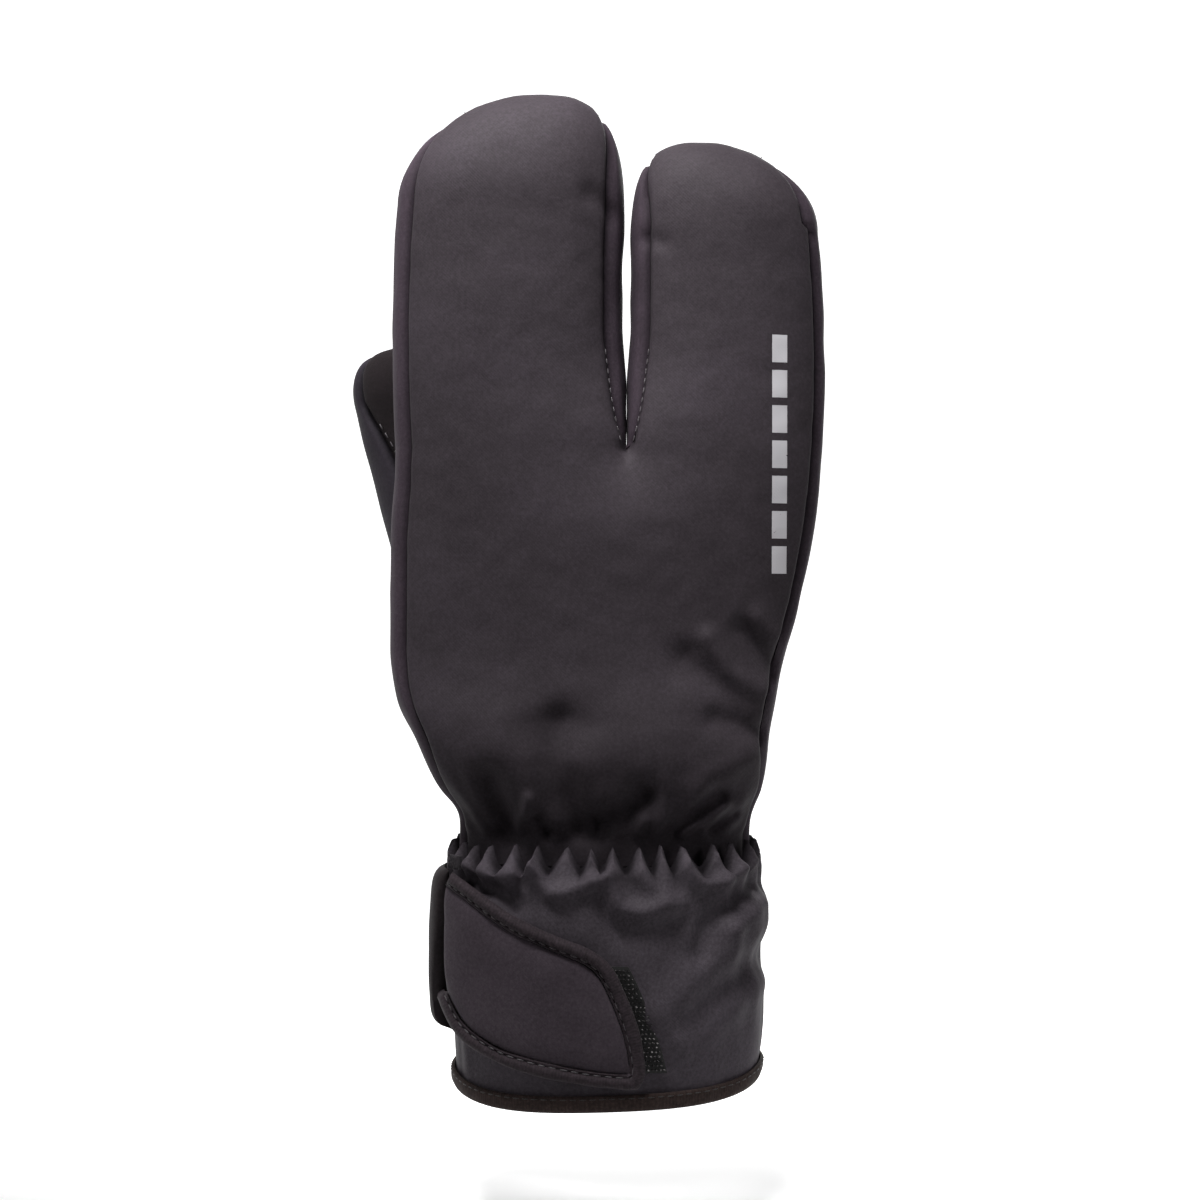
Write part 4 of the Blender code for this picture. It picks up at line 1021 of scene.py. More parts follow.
# a smooth line of evenly spaced points through a few corner points
def smoothLine(corners, count):
    fineness = 24
    dense = []
    for place in range(len(corners) - 1):
        around = [corners[min(max(place + shift, 0), len(corners) - 1)] for shift in (-1, 0, 1, 2)]
        for step in range(fineness):
            t = step / fineness
            point = []
            for a, b, c, d in zip(*around):
                bent = (2 * a - 5 * b + 4 * c - d) * t * t + (3 * b - a - 3 * c + d) * t ** 3
                point.append(0.5 * (2 * b + (c - a) * t + bent))
            dense.append(tuple(point))
    dense.append(tuple(corners[-1]))
    lengths = lengthsAlong(dense)
    found, place = [], 0
    for index in range(count + 1):
        target = lengths[-1] * index / count
        while place < len(dense) - 2 and lengths[place + 1] < target:
            place += 1
        share = (target - lengths[place]) / max(lengths[place + 1] - lengths[place], 1e-9)
        found.append(tuple(mix(a, b, min(1.0, share)) for a, b in zip(dense[place], dense[place + 1])))
    return found


def strapPath(inset, count):
    top, bottom = strapEdges()
    path = smoothLine(top + bottom[::-1], count)
    moved = []
    for place, (x, z) in enumerate(path):
        before, after = path[max(0, place - 1)], path[min(count, place + 1)]
        share = inset / math.dist(before, after)
        moved.append((x + (after[1] - before[1]) * share, z - (after[0] - before[0]) * share))
    return moved


# the strap lies a little uneven on the cuff's folds
def strapWave(x, z):
    return 0.55 * mm * wander(x, 0, z, 17 * mm, 11.0) + 0.3 * mm * wander(x, 0, z, 8 * mm, 13.0)


def makeStrap(name, material):
    count = 2 * strap["stations"]
    path = strapPath(strap["bindingWidth"] + strap["seam"], count)
    skin = Skin()
    lines = []
    half = strap["stations"]
    for high, low in zip(path[:half], path[:half:-1]):
        if high[1] - low[1] < strap["narrowest"]:
            continue
        line = []
        for row in range(strap["rows"] + 1):
            share = row / strap["rows"]
            x, z = mix(low[0], high[0], share), mix(low[1], high[1], share)
            edge = min(share, 1 - share) * (high[1] - low[1])
            push = strapWave(x, z) + strap["swell"] * smooth(edge / strap["swellReach"])
            push -= strap["edgeDrop"] * math.exp(-edge / strap["edgeReach"])
            outer = frontPoint(x, z, strap["face"])
            inner = frontPoint(x, z, strap["clearance"])
            line.append(skin.add(outer, inner, push, (x, z)))
        lines.append(line)
    return makePiece(name, skin, material, lines)


def makeStrapBinding(name, material):
    profile = [
        (0.00, -1.2), (0.02, -0.4), (0.09, 0.35), (0.22, 0.85), (0.40, 1.05), (0.56, 0.9), (0.68, 0.4),
        (0.77, -0.35), (0.85, 0.0), (0.93, 0.0), (1.00, -0.6),
    ]  # share of the width, height above the strap's face in mm
    count = 2 * strap["stations"]
    paths = [strapPath(strap["bindingWidth"] * share, count) for share, _ in profile]
    skin = Skin()
    lines = []
    along = 0.0
    for place, stations in enumerate(zip(*paths)):
        if place:
            along += math.dist(stations[0], paths[0][place - 1])
        line = []
        for column, (x, z) in enumerate(stations):
            share, height = profile[column]
            outer = frontPoint(x, z, strap["face"] + height * mm)
            inner = frontPoint(x, z, strap["clearance"])
            line.append(skin.add(outer, inner, strapWave(x, z), (share * strap["bindingWidth"], along)))
        lines.append(line)
    return makePiece(name, skin, material, lines)


# a place on the hook patch, by the share of the way down and across
def hookPlace(down, across):
    top, _ = strapEdges()
    high, low = top[5], top[-1]
    bulge = hookPatch["bulge"] * (1 - abs(2 * down - 1) ** 2.4) + hookPatch["flare"] * down
    reach = hookPatch["overhang"] + bulge - hookPatch["width"] * across
    z = mix(high[1], low[1] - hookPatch["drop"], down) - hookPatch["tilt"] * reach
    return mix(high[0], low[0], down) + reach, z


def hookPatchPoint(row, column):
    x, z = hookPlace(row / hookPatch["rows"], column / hookPatch["columns"])
    outward = strap["gap"] + hookPatch["thickness"] - hookPatch["sunk"]
    if min(column, row, hookPatch["rows"] - row) == 0:
        outward -= hookPatch["rim"]
    return frontPoint(x, z, outward), frontPoint(x, z, strap["gap"]), 0.0, (x, z)


# the angle round the cuff at which its thumb side has an x
def sideAngle(x, z):
    left, _, _ = cuffEdges(z)
    share = min(1.0, abs(x / left))
    return math.pi + math.acos(share ** (cuffPower / 2))


strapFold = {
    "low": 7.8 * mm, "high": 3.6 * mm,  # its thickness at both ends
    "behind": 0.9 * mm,  # how far behind the strap's left end it starts at its top
    "reach": 24 * mm, "rows": 60, "columns": 48, "drop": 11 * mm,
    "thickest": 0.4, "flatness": 2.5, "endPower": 10, "thinnest": 0.18,  # shares of its thickness and reach
    "edgeDrop": 0.6 * mm, "edgeReach": 0.8 * mm, "soft": 0.5 * mm, "softSize": 13 * mm,
}


def strapFoldPoint(row, column):
    top, bottom = strapEdges()
    share, across = row / strapFold["rows"], column / strapFold["columns"]
    z = mix(bottom[0][1] - strapFold["drop"], top[0][1], share)
    first = mix(math.pi, sideAngle(strap["left"] - strapFold["behind"], z), smooth(1.4 * share))
    angle = first - strapFold["reach"] / cuff["halfDepth"] * across
    rounded = 1 - abs(2 * (across - strapFold["thickest"])) ** strapFold["flatness"] * 0.4
    end = max(0.0, 1 - abs(2 * share - 1) ** strapFold["endPower"]) ** 0.5
    thick = mix(strapFold["low"], strapFold["high"], share)
    thick *= max(strapFold["thinnest"], rounded * end)
    outer = cuffPoint(angle, z, strap["gap"] + thick)
    edge = min(across, 1 - across) * strapFold["reach"]
    push = strapFold["soft"] * wander(*outer, strapFold["softSize"], 12.0)
    push -= strapFold["edgeDrop"] * math.exp(-edge / strapFold["edgeReach"])
    return outer, cuffPoint(angle, z, 1.5 * strap["gap"]), push, (across * strapFold["reach"], z)


strapTab = {
    "width": 6 * mm, "thickness": 1.2 * mm, "height": 3.6 * mm, "rows": 8, "columns": 16,
    "ribs": 6, "ridge": 0.25 * mm, "rim": 0.4 * mm,
}


def strapTabPoint(row, column):
    across, ribs = column / strapTab["columns"], strapTab["ribs"]
    z = strapEdges()[0][0][1] + 2 * strap["gap"] + strapTab["height"] * row / strapTab["rows"]
    first = sideAngle(strap["left"] + strapTab["width"] / 2, z)
    angle = first - strapTab["width"] / cuff["halfDepth"] * across
    outward = strap["gap"] + strapTab["thickness"]
    outward += strapTab["ridge"] * math.sin(across * ribs * 2 * math.pi + row)
    if min(across * ribs, (1 - across) * ribs, row, strapTab["rows"] - row) < 1:
        outward -= strapTab["rim"]
    inner = cuffPoint(angle, z, strap["gap"])
    return cuffPoint(angle, z, outward), inner, 0.0, (across * strapTab["width"], z)


def linear(code):
    found = []
    for start in (1, 3, 5):
        value = int(code[start:start + 2], 16) / 255
        found.append(value / 12.92 if value <= 0.04045 else ((value + 0.055) / 1.055) ** 2.4)
    return (*found, 1.0)


# gives a node its inputs: values, other nodes' outputs, or nodes, which stand for their first output
def setInputs(tree, node, inputs):
    for key, value in inputs.items():
        if isinstance(value, bpy.types.Node):
            value = value.outputs[0]
        if isinstance(value, bpy.types.NodeSocket):
            tree.links.new(value, node.inputs[key])
        else:
            node.inputs[key].default_value = value


def addNode(tree, kind, settings=None, inputs=None):
    node = tree.nodes.new(kind)
    for key, value in (settings or {}).items():
        setattr(node, key, value)
    setInputs(tree, node, inputs or {})
    return node


# two kinds of node that addNode is given often, with their settings
multiply = "ShaderNodeMath", {"operation": "MULTIPLY"}
multiplyAdd = "ShaderNodeMath", {"operation": "MULTIPLY_ADD"}


# a new material with its tree, its shader and the place in object space that its patterns are drawn in
def startMaterial(name, inputs):
    material = bpy.data.materials.new(name)
    material.use_nodes = True
    tree = material.node_tree
    shader = tree.nodes["Principled BSDF"]
    setInputs(tree, shader, inputs)
    return material, tree, shader, addNode(tree, "ShaderNodeTexCoord").outputs["Object"]


# a colour that wanders between three tones, dark, middle and light
def tones(tree, factor, colours):
    ramp = addNode(tree, "ShaderNodeValToRGB", None, {"Fac": factor})
    stops = ramp.color_ramp.elements
    stops[0].position, stops[1].position = 0.28, 0.74
    for stop, colour in zip((stops[0], stops.new(0.5), stops[-1]), colours):
        stop.color = linear(colour)
    return ramp


# polyester softshell, woven and brushed: matt, with a faint grain and a soft sheen at grazing angles
softshell = {
    "grainMm": 0.9,  # the threads are finer; drawn as coarse as the photo's grain shows
    "cloudMm": 34, "wrinkleMm": 7.0, "roughness": 0.70, "sheen": 0.01, "gloss": 0.10,
    "bump": 0.35, "bumpDepth": 0.12 * mm, "wrinkle": 0.30, "wrinkleDepth": 0.5 * mm,
    "grooveShade": 0.82,  # painted shade: seams, pleats, creases, the waist above the gather and the glove's inside are darker by this share
}


def softshellMaterial(name, colours, roughness=softshell["roughness"], gloss=softshell["gloss"]):
    material, tree, shader, where = startMaterial(name, {
        "Roughness": roughness, "Sheen Weight": softshell["sheen"], "Sheen Roughness": 0.4,
    })
    cloud, grain, wrinkle = (
        addNode(tree, "ShaderNodeTexNoise", None, {
            "Vector": where, "Scale": 1 / (softshell[size] * mm), "Detail": detail, "Roughness": rough,
        })
        for size, detail, rough in (("cloudMm", 4.0, 0.55), ("grainMm", 3.0, 0.7), ("wrinkleMm", 3.0, 0.55))
    )
    # crossed threads: two sets of bands on the piece's own map
    cloth = addNode(tree, "ShaderNodeUVMap", {"uv_map": "cloth"})
    parts = addNode(tree, "ShaderNodeSeparateXYZ", None, {"Vector": cloth})
    waves = []
    for axis in ("X", "Y"):
        turns = addNode(tree, *multiply, {
            0: parts.outputs[axis], 1: 2 * math.pi / (softshell["grainMm"] * mm),
        })
        waves.append(addNode(tree, "ShaderNodeMath", {"operation": "SINE"}, {0: turns}))
    weave = addNode(tree, *multiply, {0: waves[0], 1: waves[1]})
    weave = addNode(tree, *multiplyAdd, {0: weave, 1: 0.5, 2: 0.5})
    clouded = addNode(tree, *multiply, {0: cloud, 1: 0.45})
    factor = addNode(tree, *multiplyAdd, {0: grain, 1: 0.55, 2: clouded})
    # painted shade: colour and gloss are dimmed by the shade attribute that the pieces carry
    paintedGrooveShade = addNode(tree, "ShaderNodeAttribute", {"attribute_name": "paintedGrooveShade"}).outputs["Fac"]
    kept = addNode(tree, *multiplyAdd, {0: paintedGrooveShade, 1: -softshell["grooveShade"], 2: 1.0})
    shaded = addNode(tree, "ShaderNodeVectorMath", {"operation": "SCALE"}, {
        "Vector": tones(tree, factor, colours), "Scale": kept,
    })
    sheer = addNode(tree, *multiply, {0: kept, 1: gloss})
    height = addNode(tree, *multiplyAdd, {0: weave, 1: 0.45, 2: grain})
    fine = addNode(tree, "ShaderNodeBump", None, {
        "Strength": softshell["bump"], "Distance": softshell["bumpDepth"], "Height": height,
    })
    soft = addNode(tree, "ShaderNodeBump", None, {
        "Strength": softshell["wrinkle"], "Distance": softshell["wrinkleDepth"], "Height": wrinkle,
        "Normal": fine,
    })
    setInputs(tree, shader, {"Base Color": shaded, "Specular IOR Level": sheer, "Normal": soft})
    return material


# microfibre suede, brushed: a rough nap that catches light in small patches and has no gloss
suede = {"napMm": 0.8, "patchMm": 9, "bump": 0.75, "bumpDepth": 0.25 * mm}


def suedeMaterial(name, colours):
    material, tree, shader, where = startMaterial(name, {
        "Roughness": 0.92, "Sheen Weight": 0.02, "Sheen Roughness": 0.6, "Specular IOR Level": 0.1,
    })
    nap = addNode(tree, "ShaderNodeTexNoise", None, {
        "Vector": where, "Scale": 1 / (suede["napMm"] * mm), "Detail": 5.0, "Roughness": 0.75,
    })
    patch = addNode(tree, "ShaderNodeTexNoise", None, {
        "Vector": where, "Scale": 1 / (suede["patchMm"] * mm), "Detail": 3.0, "Roughness": 0.55,
    })
    patched = addNode(tree, *multiply, {0: patch, 1: 0.3})
    factor = addNode(tree, *multiplyAdd, {0: nap, 1: 0.7, 2: patched})
    bump = addNode(tree, "ShaderNodeBump", None, {
        "Strength": suede["bump"], "Distance": suede["bumpDepth"], "Height": nap,
    })
    setInputs(tree, shader, {"Base Color": tones(tree, factor, colours), "Normal": bump})
    return material


# knitted polyester binding tape: fine ribs across its length, matt
tape = {"ribMm": 0.8, "fuzzMm": 1.0, "bump": 0.3, "bumpDepth": 0.2 * mm}


def tapeMaterial(name, colours, alongAxis):
    material, tree, shader, where = startMaterial(name, {
        "Roughness": 0.8, "Sheen Weight": 0.02, "Sheen Roughness": 0.5, "Specular IOR Level": 0.15,
    })
    cloth = addNode(tree, "ShaderNodeUVMap", {"uv_map": "cloth"})
    parts = addNode(tree, "ShaderNodeSeparateXYZ", None, {"Vector": cloth})
    turns = addNode(tree, *multiply, {
        0: parts.outputs[alongAxis], 1: 2 * math.pi / (tape["ribMm"] * mm),
    })
    ribs = addNode(tree, "ShaderNodeMath", {"operation": "SINE"}, {0: turns})
    fuzz = addNode(tree, "ShaderNodeTexNoise", None, {
        "Vector": where, "Scale": 1 / (tape["fuzzMm"] * mm), "Detail": 4.0, "Roughness": 0.7,
    })
    factor = addNode(tree, *multiplyAdd, {0: ribs, 1: 0.04, 2: fuzz})
    height = addNode(tree, *multiplyAdd, {0: ribs, 1: 0.4, 2: fuzz})
    bump = addNode(tree, "ShaderNodeBump", None, {
        "Strength": tape["bump"], "Distance": tape["bumpDepth"], "Height": height,
    })
    setInputs(tree, shader, {"Base Color": tones(tree, factor, colours), "Normal": bump})
    return material


# moulded nylon hook tape: smooth little hooks that glint, on a rough base; a light speck tone is a painted
# glint
nylon = {"speckMm": 0.9, "bump": 0.6, "bumpDepth": 0.2 * mm}


def hookMaterial(name, colours, roughness):
    material, tree, shader, where = startMaterial(name, {"Roughness": roughness, "Specular IOR Level": 0.4})
    speck = addNode(tree, "ShaderNodeTexNoise", None, {
        "Vector": where, "Scale": 1 / (nylon["speckMm"] * mm), "Detail": 3.0, "Roughness": 0.7,
    })
    bump = addNode(tree, "ShaderNodeBump", None, {
        "Strength": nylon["bump"], "Distance": nylon["bumpDepth"], "Height": speck,
    })
    setInputs(tree, shader, {"Base Color": tones(tree, speck, colours), "Normal": bump})
    return material


# bonded polyester thread, twisted: a slight gloss along each stitch
def threadMaterial(name, colours):
    material, tree, shader, where = startMaterial(name, {
        "Roughness": 0.5, "Sheen Weight": 0.1, "Specular IOR Level": 0.45,
    })
    fibreMm = 0.6
    fibre = addNode(tree, "ShaderNodeTexNoise", None, {
        "Vector": where, "Scale": 1 / (fibreMm * mm), "Detail": 2.0, "Roughness": 0.55,
    })
    setInputs(tree, shader, {"Base Color": tones(tree, fibre, colours)})
    return material


# a plain dashed line of grey reflective transfer film, glass beads bonded on the cloth
printBars = {
    "x": 49.0 * mm, "halfWidth": 2.1 * mm, "low": 143 * mm, "pitch": 9.6 * mm, "count": 7,
    "share": 0.78, "wornMm": 1.4, "worn": 0.30, "roughness": 0.42, "colour": "#a9a7ab",
}


def addPrint(material):
    tree = material.node_tree
    shader = tree.nodes["Principled BSDF"]
    where = addNode(tree, "ShaderNodeTexCoord").outputs["Object"]
    parts = addNode(tree, "ShaderNodeSeparateXYZ", None, {"Vector": where}).outputs
    low, pitch = printBars["low"], printBars["pitch"]
    halfLength = printBars["count"] * pitch / 2
    within = addNode(tree, "ShaderNodeMath", {"operation": "WRAP"}, {0: parts["Z"], 1: low + pitch, 2: low})
    specks = addNode(tree, "ShaderNodeTexNoise", None, {
        "Vector": where, "Scale": 1 / (printBars["wornMm"] * mm), "Detail": 4.0, "Roughness": 0.7,
    })
    mask = 1.0
    for operation, inputs in (
        ("COMPARE", {0: parts["X"], 1: printBars["x"], 2: printBars["halfWidth"]}),
        ("COMPARE", {0: parts["Z"], 1: low + halfLength, 2: halfLength}),
        ("LESS_THAN", {0: within, 1: low + printBars["share"] * pitch}),
        ("LESS_THAN", {0: parts["Y"], 1: 0.0}),
        ("GREATER_THAN", {0: specks, 1: printBars["worn"]}),
    ):
        test = addNode(tree, "ShaderNodeMath", {"operation": operation}, inputs)
        mask = addNode(tree, *multiply, {0: mask, 1: test})
    cloth = shader.inputs["Base Color"].links[0].from_socket
    mixed = addNode(tree, "ShaderNodeMix", {"data_type": "RGBA"}, {
        0: mask, 6: cloth, 7: linear(printBars["colour"]),
    })
    rough = addNode(tree, "ShaderNodeMix", None, {
        0: mask, 2: softshell["roughness"], 3: printBars["roughness"],
    })
    setInputs(tree, shader, {"Base Color": mixed.outputs[2], "Roughness": rough})


# a new geometry tree and its inputs; sockets: the name and the kind of each value that it takes
def startTree(name, sockets):
    tree = bpy.data.node_groups.new(name, "GeometryNodeTree")
    tree.is_modifier = True
    for socket, kind in (("Geometry", "Geometry"), *sockets):
        tree.interface.new_socket(socket, in_out="INPUT", socket_type="NodeSocket" + kind)
    tree.interface.new_socket("Geometry", in_out="OUTPUT", socket_type="NodeSocketGeometry")
    return tree, addNode(tree, "NodeGroupInput").outputs


def endTree(tree, geometry, material):
    done = addNode(tree, "GeometryNodeSetMaterial", None, {"Geometry": geometry, "Material": material})
    addNode(tree, "NodeGroupOutput", None, {"Geometry": done})
    return tree


def stitchTree():
    tree, given = startTree("stitchRows", (
        ("Pitch", "Float"), ("Length", "Float"), ("Thickness", "Float"), ("Thread", "Material"),
    ))
    curve = addNode(tree, "GeometryNodeMeshToCurve", None, {"Mesh": given["Geometry"]})
    spaced = addNode(tree, "GeometryNodeResampleCurve", {"mode": "LENGTH"}, {
        "Curve": curve, "Length": given["Pitch"],
    })
    up = addNode(tree, "GeometryNodeInputNamedAttribute", {"data_type": "FLOAT_VECTOR"}, {"Name": "up"})
    tangent = addNode(tree, "GeometryNodeInputTangent")
    turned = addNode(tree, "FunctionNodeAlignRotationToVector", {"axis": "X"}, {"Vector": tangent})
    turned = addNode(tree, "FunctionNodeAlignRotationToVector", {"axis": "Z", "pivot_axis": "X"}, {
        "Rotation": turned, "Vector": up,
    })
    bead = addNode(tree, "GeometryNodeMeshUVSphere", None, {"Segments": 8, "Rings": 5, "Radius": 0.5})
    size = addNode(tree, "ShaderNodeCombineXYZ", None, {
        "X": given["Length"], "Y": given["Thickness"], "Z": given["Thickness"],
    })
    stitch = addNode(tree, "GeometryNodeTransform", None, {"Geometry": bead, "Scale": size})
    placed = addNode(tree, "GeometryNodeInstanceOnPoints", None, {
        "Points": spaced, "Instance": stitch, "Rotation": turned,
    })
    real = addNode(tree, "GeometryNodeRealizeInstances", None, {"Geometry": placed})
    soft = addNode(tree, "GeometryNodeSetShadeSmooth", None, {"Geometry": real})
    return endTree(tree, soft, given["Thread"])


# runs a tree on a mesh and gives the result as a plain mesh
def grow(piece, tree, values):
    modifier = piece.modifiers.new("grow", "NODES")
    modifier.node_group = tree
    for item in tree.interface.items_tree:
        if item.in_out == "INPUT" and item.name in values:
            modifier[item.identifier] = values[item.name]
    bpy.context.view_layer.update()
    graph = bpy.context.evaluated_depsgraph_get()
    mesh = bpy.data.meshes.new_from_object(piece.evaluated_get(graph))
    piece.modifiers.clear()
    piece.data = mesh
    return piece


# rows of stitches; each row is a list of (point, direction away from the cloth)
def makeStitches(name, rows, pitch, length, thickness, thread):
    points, edges, ups = [], [], []
    for row in rows:
        for place, (point, up) in enumerate(row):
            if place:
                edges.append((len(points) - 1, len(points)))
            points.append(tuple(point))
            ups.append(up)
    mesh = bpy.data.meshes.new(name)
    mesh.from_pydata(points, edges, [])
    layer = mesh.attributes.new("up", "FLOAT_VECTOR", "POINT")
    for index, up in enumerate(ups):
        layer.data[index].vector = up
    return grow(addObject(name, mesh), stitchRows, {
        "Pitch": pitch, "Length": length, "Thickness": thickness, "Thread": thread,
    })


def hookTree():
    tree, given = startTree("hookField", (
        ("Height", "Float"), ("Width", "Float"), ("Seed", "Int"), ("Nylon", "Material"),
    ))
    stem = addNode(tree, "GeometryNodeMeshCone", {"fill_type": "NGON"}, {
        "Vertices": 6, "Radius Top": 0.24, "Radius Bottom": 0.34, "Depth": 0.7,
    })
    bead = addNode(tree, "GeometryNodeMeshUVSphere", None, {"Segments": 6, "Rings": 4, "Radius": 0.5})
    head = addNode(tree, "GeometryNodeTransform", None, {
        "Geometry": bead, "Translation": (0.12, 0, 0.75), "Scale": (1.0, 0.7, 0.55),
    })
    hook = addNode(tree, "GeometryNodeJoinGeometry", None, {"Geometry": stem})
    setInputs(tree, hook, {"Geometry": head})
    size = addNode(tree, "ShaderNodeCombineXYZ", None, {
        "X": given["Width"], "Y": given["Width"], "Z": given["Height"],
    })
    hook = addNode(tree, "GeometryNodeTransform", None, {"Geometry": hook, "Scale": size})
    normal = addNode(tree, "GeometryNodeInputNormal")
    turned = addNode(tree, "FunctionNodeAlignRotationToVector", {"axis": "Z"}, {"Vector": normal})
    spin = addNode(tree, "FunctionNodeRandomValue", {"data_type": "FLOAT"}, {
        2: -0.6, 3: 0.6, "Seed": given["Seed"],
    })
    around = addNode(tree, "ShaderNodeCombineXYZ", None, {"Z": spin.outputs[1]})
    turned = addNode(tree, "FunctionNodeRotateRotation", {"rotation_space": "LOCAL"}, {
        "Rotation": turned, "Rotate By": around,
    })
    placed = addNode(tree, "GeometryNodeInstanceOnPoints", None, {
        "Points": given["Geometry"], "Instance": hook, "Rotation": turned,
    })
    real = addNode(tree, "GeometryNodeRealizeInstances", None, {"Geometry": placed})
    return endTree(tree, real, given["Nylon"])


def makeHooks(name, material):
    points, faces = [], []
    columns = round(hookPatch["width"] / hookPatch["hookPitch"])
    rows = round(hookPatch["length"] / hookPatch["hookPitch"])
    for row in range(rows):
        for column in range(columns):
            shift = 0.5 * (row % 2)
            down, across = (row + 0.8) / (rows + 0.6), (column + 0.6 + shift) / (columns + 1)
            x, z = hookPlace(down, across)
            points.append(frontPoint(x, z, strap["gap"] + hookPatch["thickness"] - hookPatch["sunk"]))
            if row and column:
                here = row * columns + column
                faces.append((here, here - 1, here - columns - 1, here - columns))
    mesh = bpy.data.meshes.new(name)
    mesh.from_pydata(points, [], faces)
    return grow(addObject(name, mesh), hookField, {
        "Height": hookPatch["hookHeight"], "Width": hookPatch["hookWidth"], "Seed": hookPatch["seed"],
        "Nylon": material,
    })


# a point on the cloth, with the direction away from it
def overCloth(pointAt, a, b):
    here = Vector(pointAt(a, b))
    alongA = Vector(pointAt(a + 0.4 * mm, b)) - here
    alongB = Vector(pointAt(a, b + 0.4 * mm)) - here
    up = alongA.cross(alongB).normalized()
    if up.y > 0:
        up = -up
    return here, up


studio = {
    "cameraDistance": 0.6, "cameraHeight": 0.1358, "focal": 64.3, "sensor": 36, "clip": (0.01, 20),
    "floor": -33 * mm, "front": -1.6, "halfWidth": 2.6, "curveStart": 1.1, "curve": 0.5, "top": 2.6,
    "worldStrength": 0.035, "sweepGlow": 0.95, "glowRise": 6.0, "glowStart": 0.3,
}


def makeCamera():
    data = bpy.data.cameras.new("camera")
    data.lens, data.sensor_width, data.sensor_fit = studio["focal"], studio["sensor"], "HORIZONTAL"
    data.clip_start, data.clip_end = studio["clip"]
    camera = addObject("camera", data)
    camera.location = (0, -studio["cameraDistance"], studio["cameraHeight"])
    camera.rotation_euler = (math.pi / 2, 0, 0)
    bpy.context.scene.camera = camera


def makeLight(name, place, target, size, power, spread):
    data = bpy.data.lights.new(name, "AREA")
    data.shape, data.size, data.size_y, data.energy = "RECTANGLE", size[0], size[1], power
    data.spread = math.radians(spread)
    light = addObject(name, data)
    light.location = place
    light.rotation_euler = (Vector(place) - Vector(target)).to_track_quat("Z", "Y").to_euler()


# a pale paper sweep: floor, curve and wall in one sheet
def makeSweep():
    curve, steps = studio["curve"], 12
    profile = [(studio["front"], 0.0)]
    for step in range(steps + 1):
        turn = math.pi / 2 * step / steps
        profile.append((studio["curveStart"] + curve * math.sin(turn), curve * (1 - math.cos(turn))))
    profile.append((studio["curveStart"] + curve, studio["top"]))
    points = [
        (side * studio["halfWidth"], y, studio["floor"] + z) for y, z in profile for side in (-1, 1)
    ]
    faces = [(2 * i, 2 * i + 1, 2 * i + 3, 2 * i + 2) for i in range(len(profile) - 1)]
    mesh = bpy.data.meshes.new("sweep")
    mesh.from_pydata(points, [], faces)
    mesh.shade_smooth()
    material, tree, shader, where = startMaterial("paperSweep", {
        "Roughness": 0.9, "Base Color": linear("#f4f4f4"), "Emission Color": linear("#ffffff"),
    })
    parts = addNode(tree, "ShaderNodeSeparateXYZ", None, {"Vector": where})
    # the paper glows behind the glove only
    behind = addNode(tree, *multiplyAdd, {
        0: parts.outputs["Y"], 1: studio["glowRise"], 2: studio["glowStart"],
    })
    inside = addNode(tree, "ShaderNodeClamp", None, {"Value": behind})
    glow = addNode(tree, *multiply, {0: inside, 1: studio["sweepGlow"]})
    setInputs(tree, shader, {"Emission Strength": glow})
    mesh.materials.append(material)
    addObject("sweep", mesh)


def makeWorld():
    world = bpy.data.worlds.new("studio")
    bpy.context.scene.world = world
    world.use_nodes = True
    setInputs(world.node_tree, world.node_tree.nodes["Background"], {
        "Color": linear("#ffffff"), "Strength": studio["worldStrength"],
    })


makeCamera()
makeWorld()
makeSweep()
middle = (0, 0, 0.14)
makeLight("keyAbove", (-0.09, -0.17, 0.56), (0, 0, 0.255), (0.24, 0.10), 0.62, 54)
makeLight("sideRight", (0.70, -0.50, 0.40), (0, 0, 0.19), (0.3, 0.5), 0.2, 50)
makeLight("sideLeft", (-0.80, -0.35, 0.40), (0, 0, 0.19), (0.3, 0.5), 0.25, 50)
makeLight("fillBehind", (0.25, 0.80, 0.50), middle, (0.5, 0.4), 0.5, 60)
bpy.context.scene.view_settings.view_transform = "Standard"
print("studio ready")

stitchRows, hookField = stitchTree(), hookTree()
backCloth = softshellMaterial("softshellBack", ("#231e22", "#2d282c", "#383238"))
addPrint(backCloth)
gussetCloth = softshellMaterial("softshellGusset", ("#272126", "#342c33", "#413840"))
thumbCloth = softshellMaterial("softshellThumb", ("#201c21", "#2a262c", "#353037"))
# lighter than the back's cloth: partly the cuff's own cloth, partly painted sheen standing in for the gloss
# it lacks
cuffClothWithPaintedSheen = softshellMaterial("softshellCuff", ("#2f2b2f", "#403b40", "#4e484f"), 0.60, 0.05)
strapCloth = softshellMaterial("strapLaminate", ("#2d272c", "#3a3339", "#463f44"))
# darker than the strap's cloth: painted shade, as the fold faces away from the light
foldClothShaded = softshellMaterial("strapFoldStretch", ("#1c181a", "#252022", "#302a2d"))
palmCloth = suedeMaterial("suedePalm", ("#181516", "#211d1e", "#2d2829"))
thumbRough = suedeMaterial("suedeThumb", ("#110d0e", "#171214", "#221c1e"))
hemTape = tapeMaterial("tapeHem", ("#211917", "#2c2220", "#3a2f2c"), "X")
strapTape = tapeMaterial("tapeStrap", ("#1f1a1d", "#2a2327", "#362e33"), "Y")
tabWeb = tapeMaterial("webbingTab", ("#1a171a", "#232023", "#2e2a2d"), "X")
hookTape = hookMaterial("hookTape", ("#070607", "#0b0a0a", "#121011"), 0.7)
# its light tone is a painted glint on a few hooks
hookNylonGlints = hookMaterial("hookNylonGlints", ("#0a090a", "#1b191a", "#a39f9f"), 0.25)
thread = threadMaterial("thread", ("#242023", "#3a3539", "#524c50"))
darkThread = threadMaterial("threadHem", ("#100c0b", "#181311", "#211b19"))

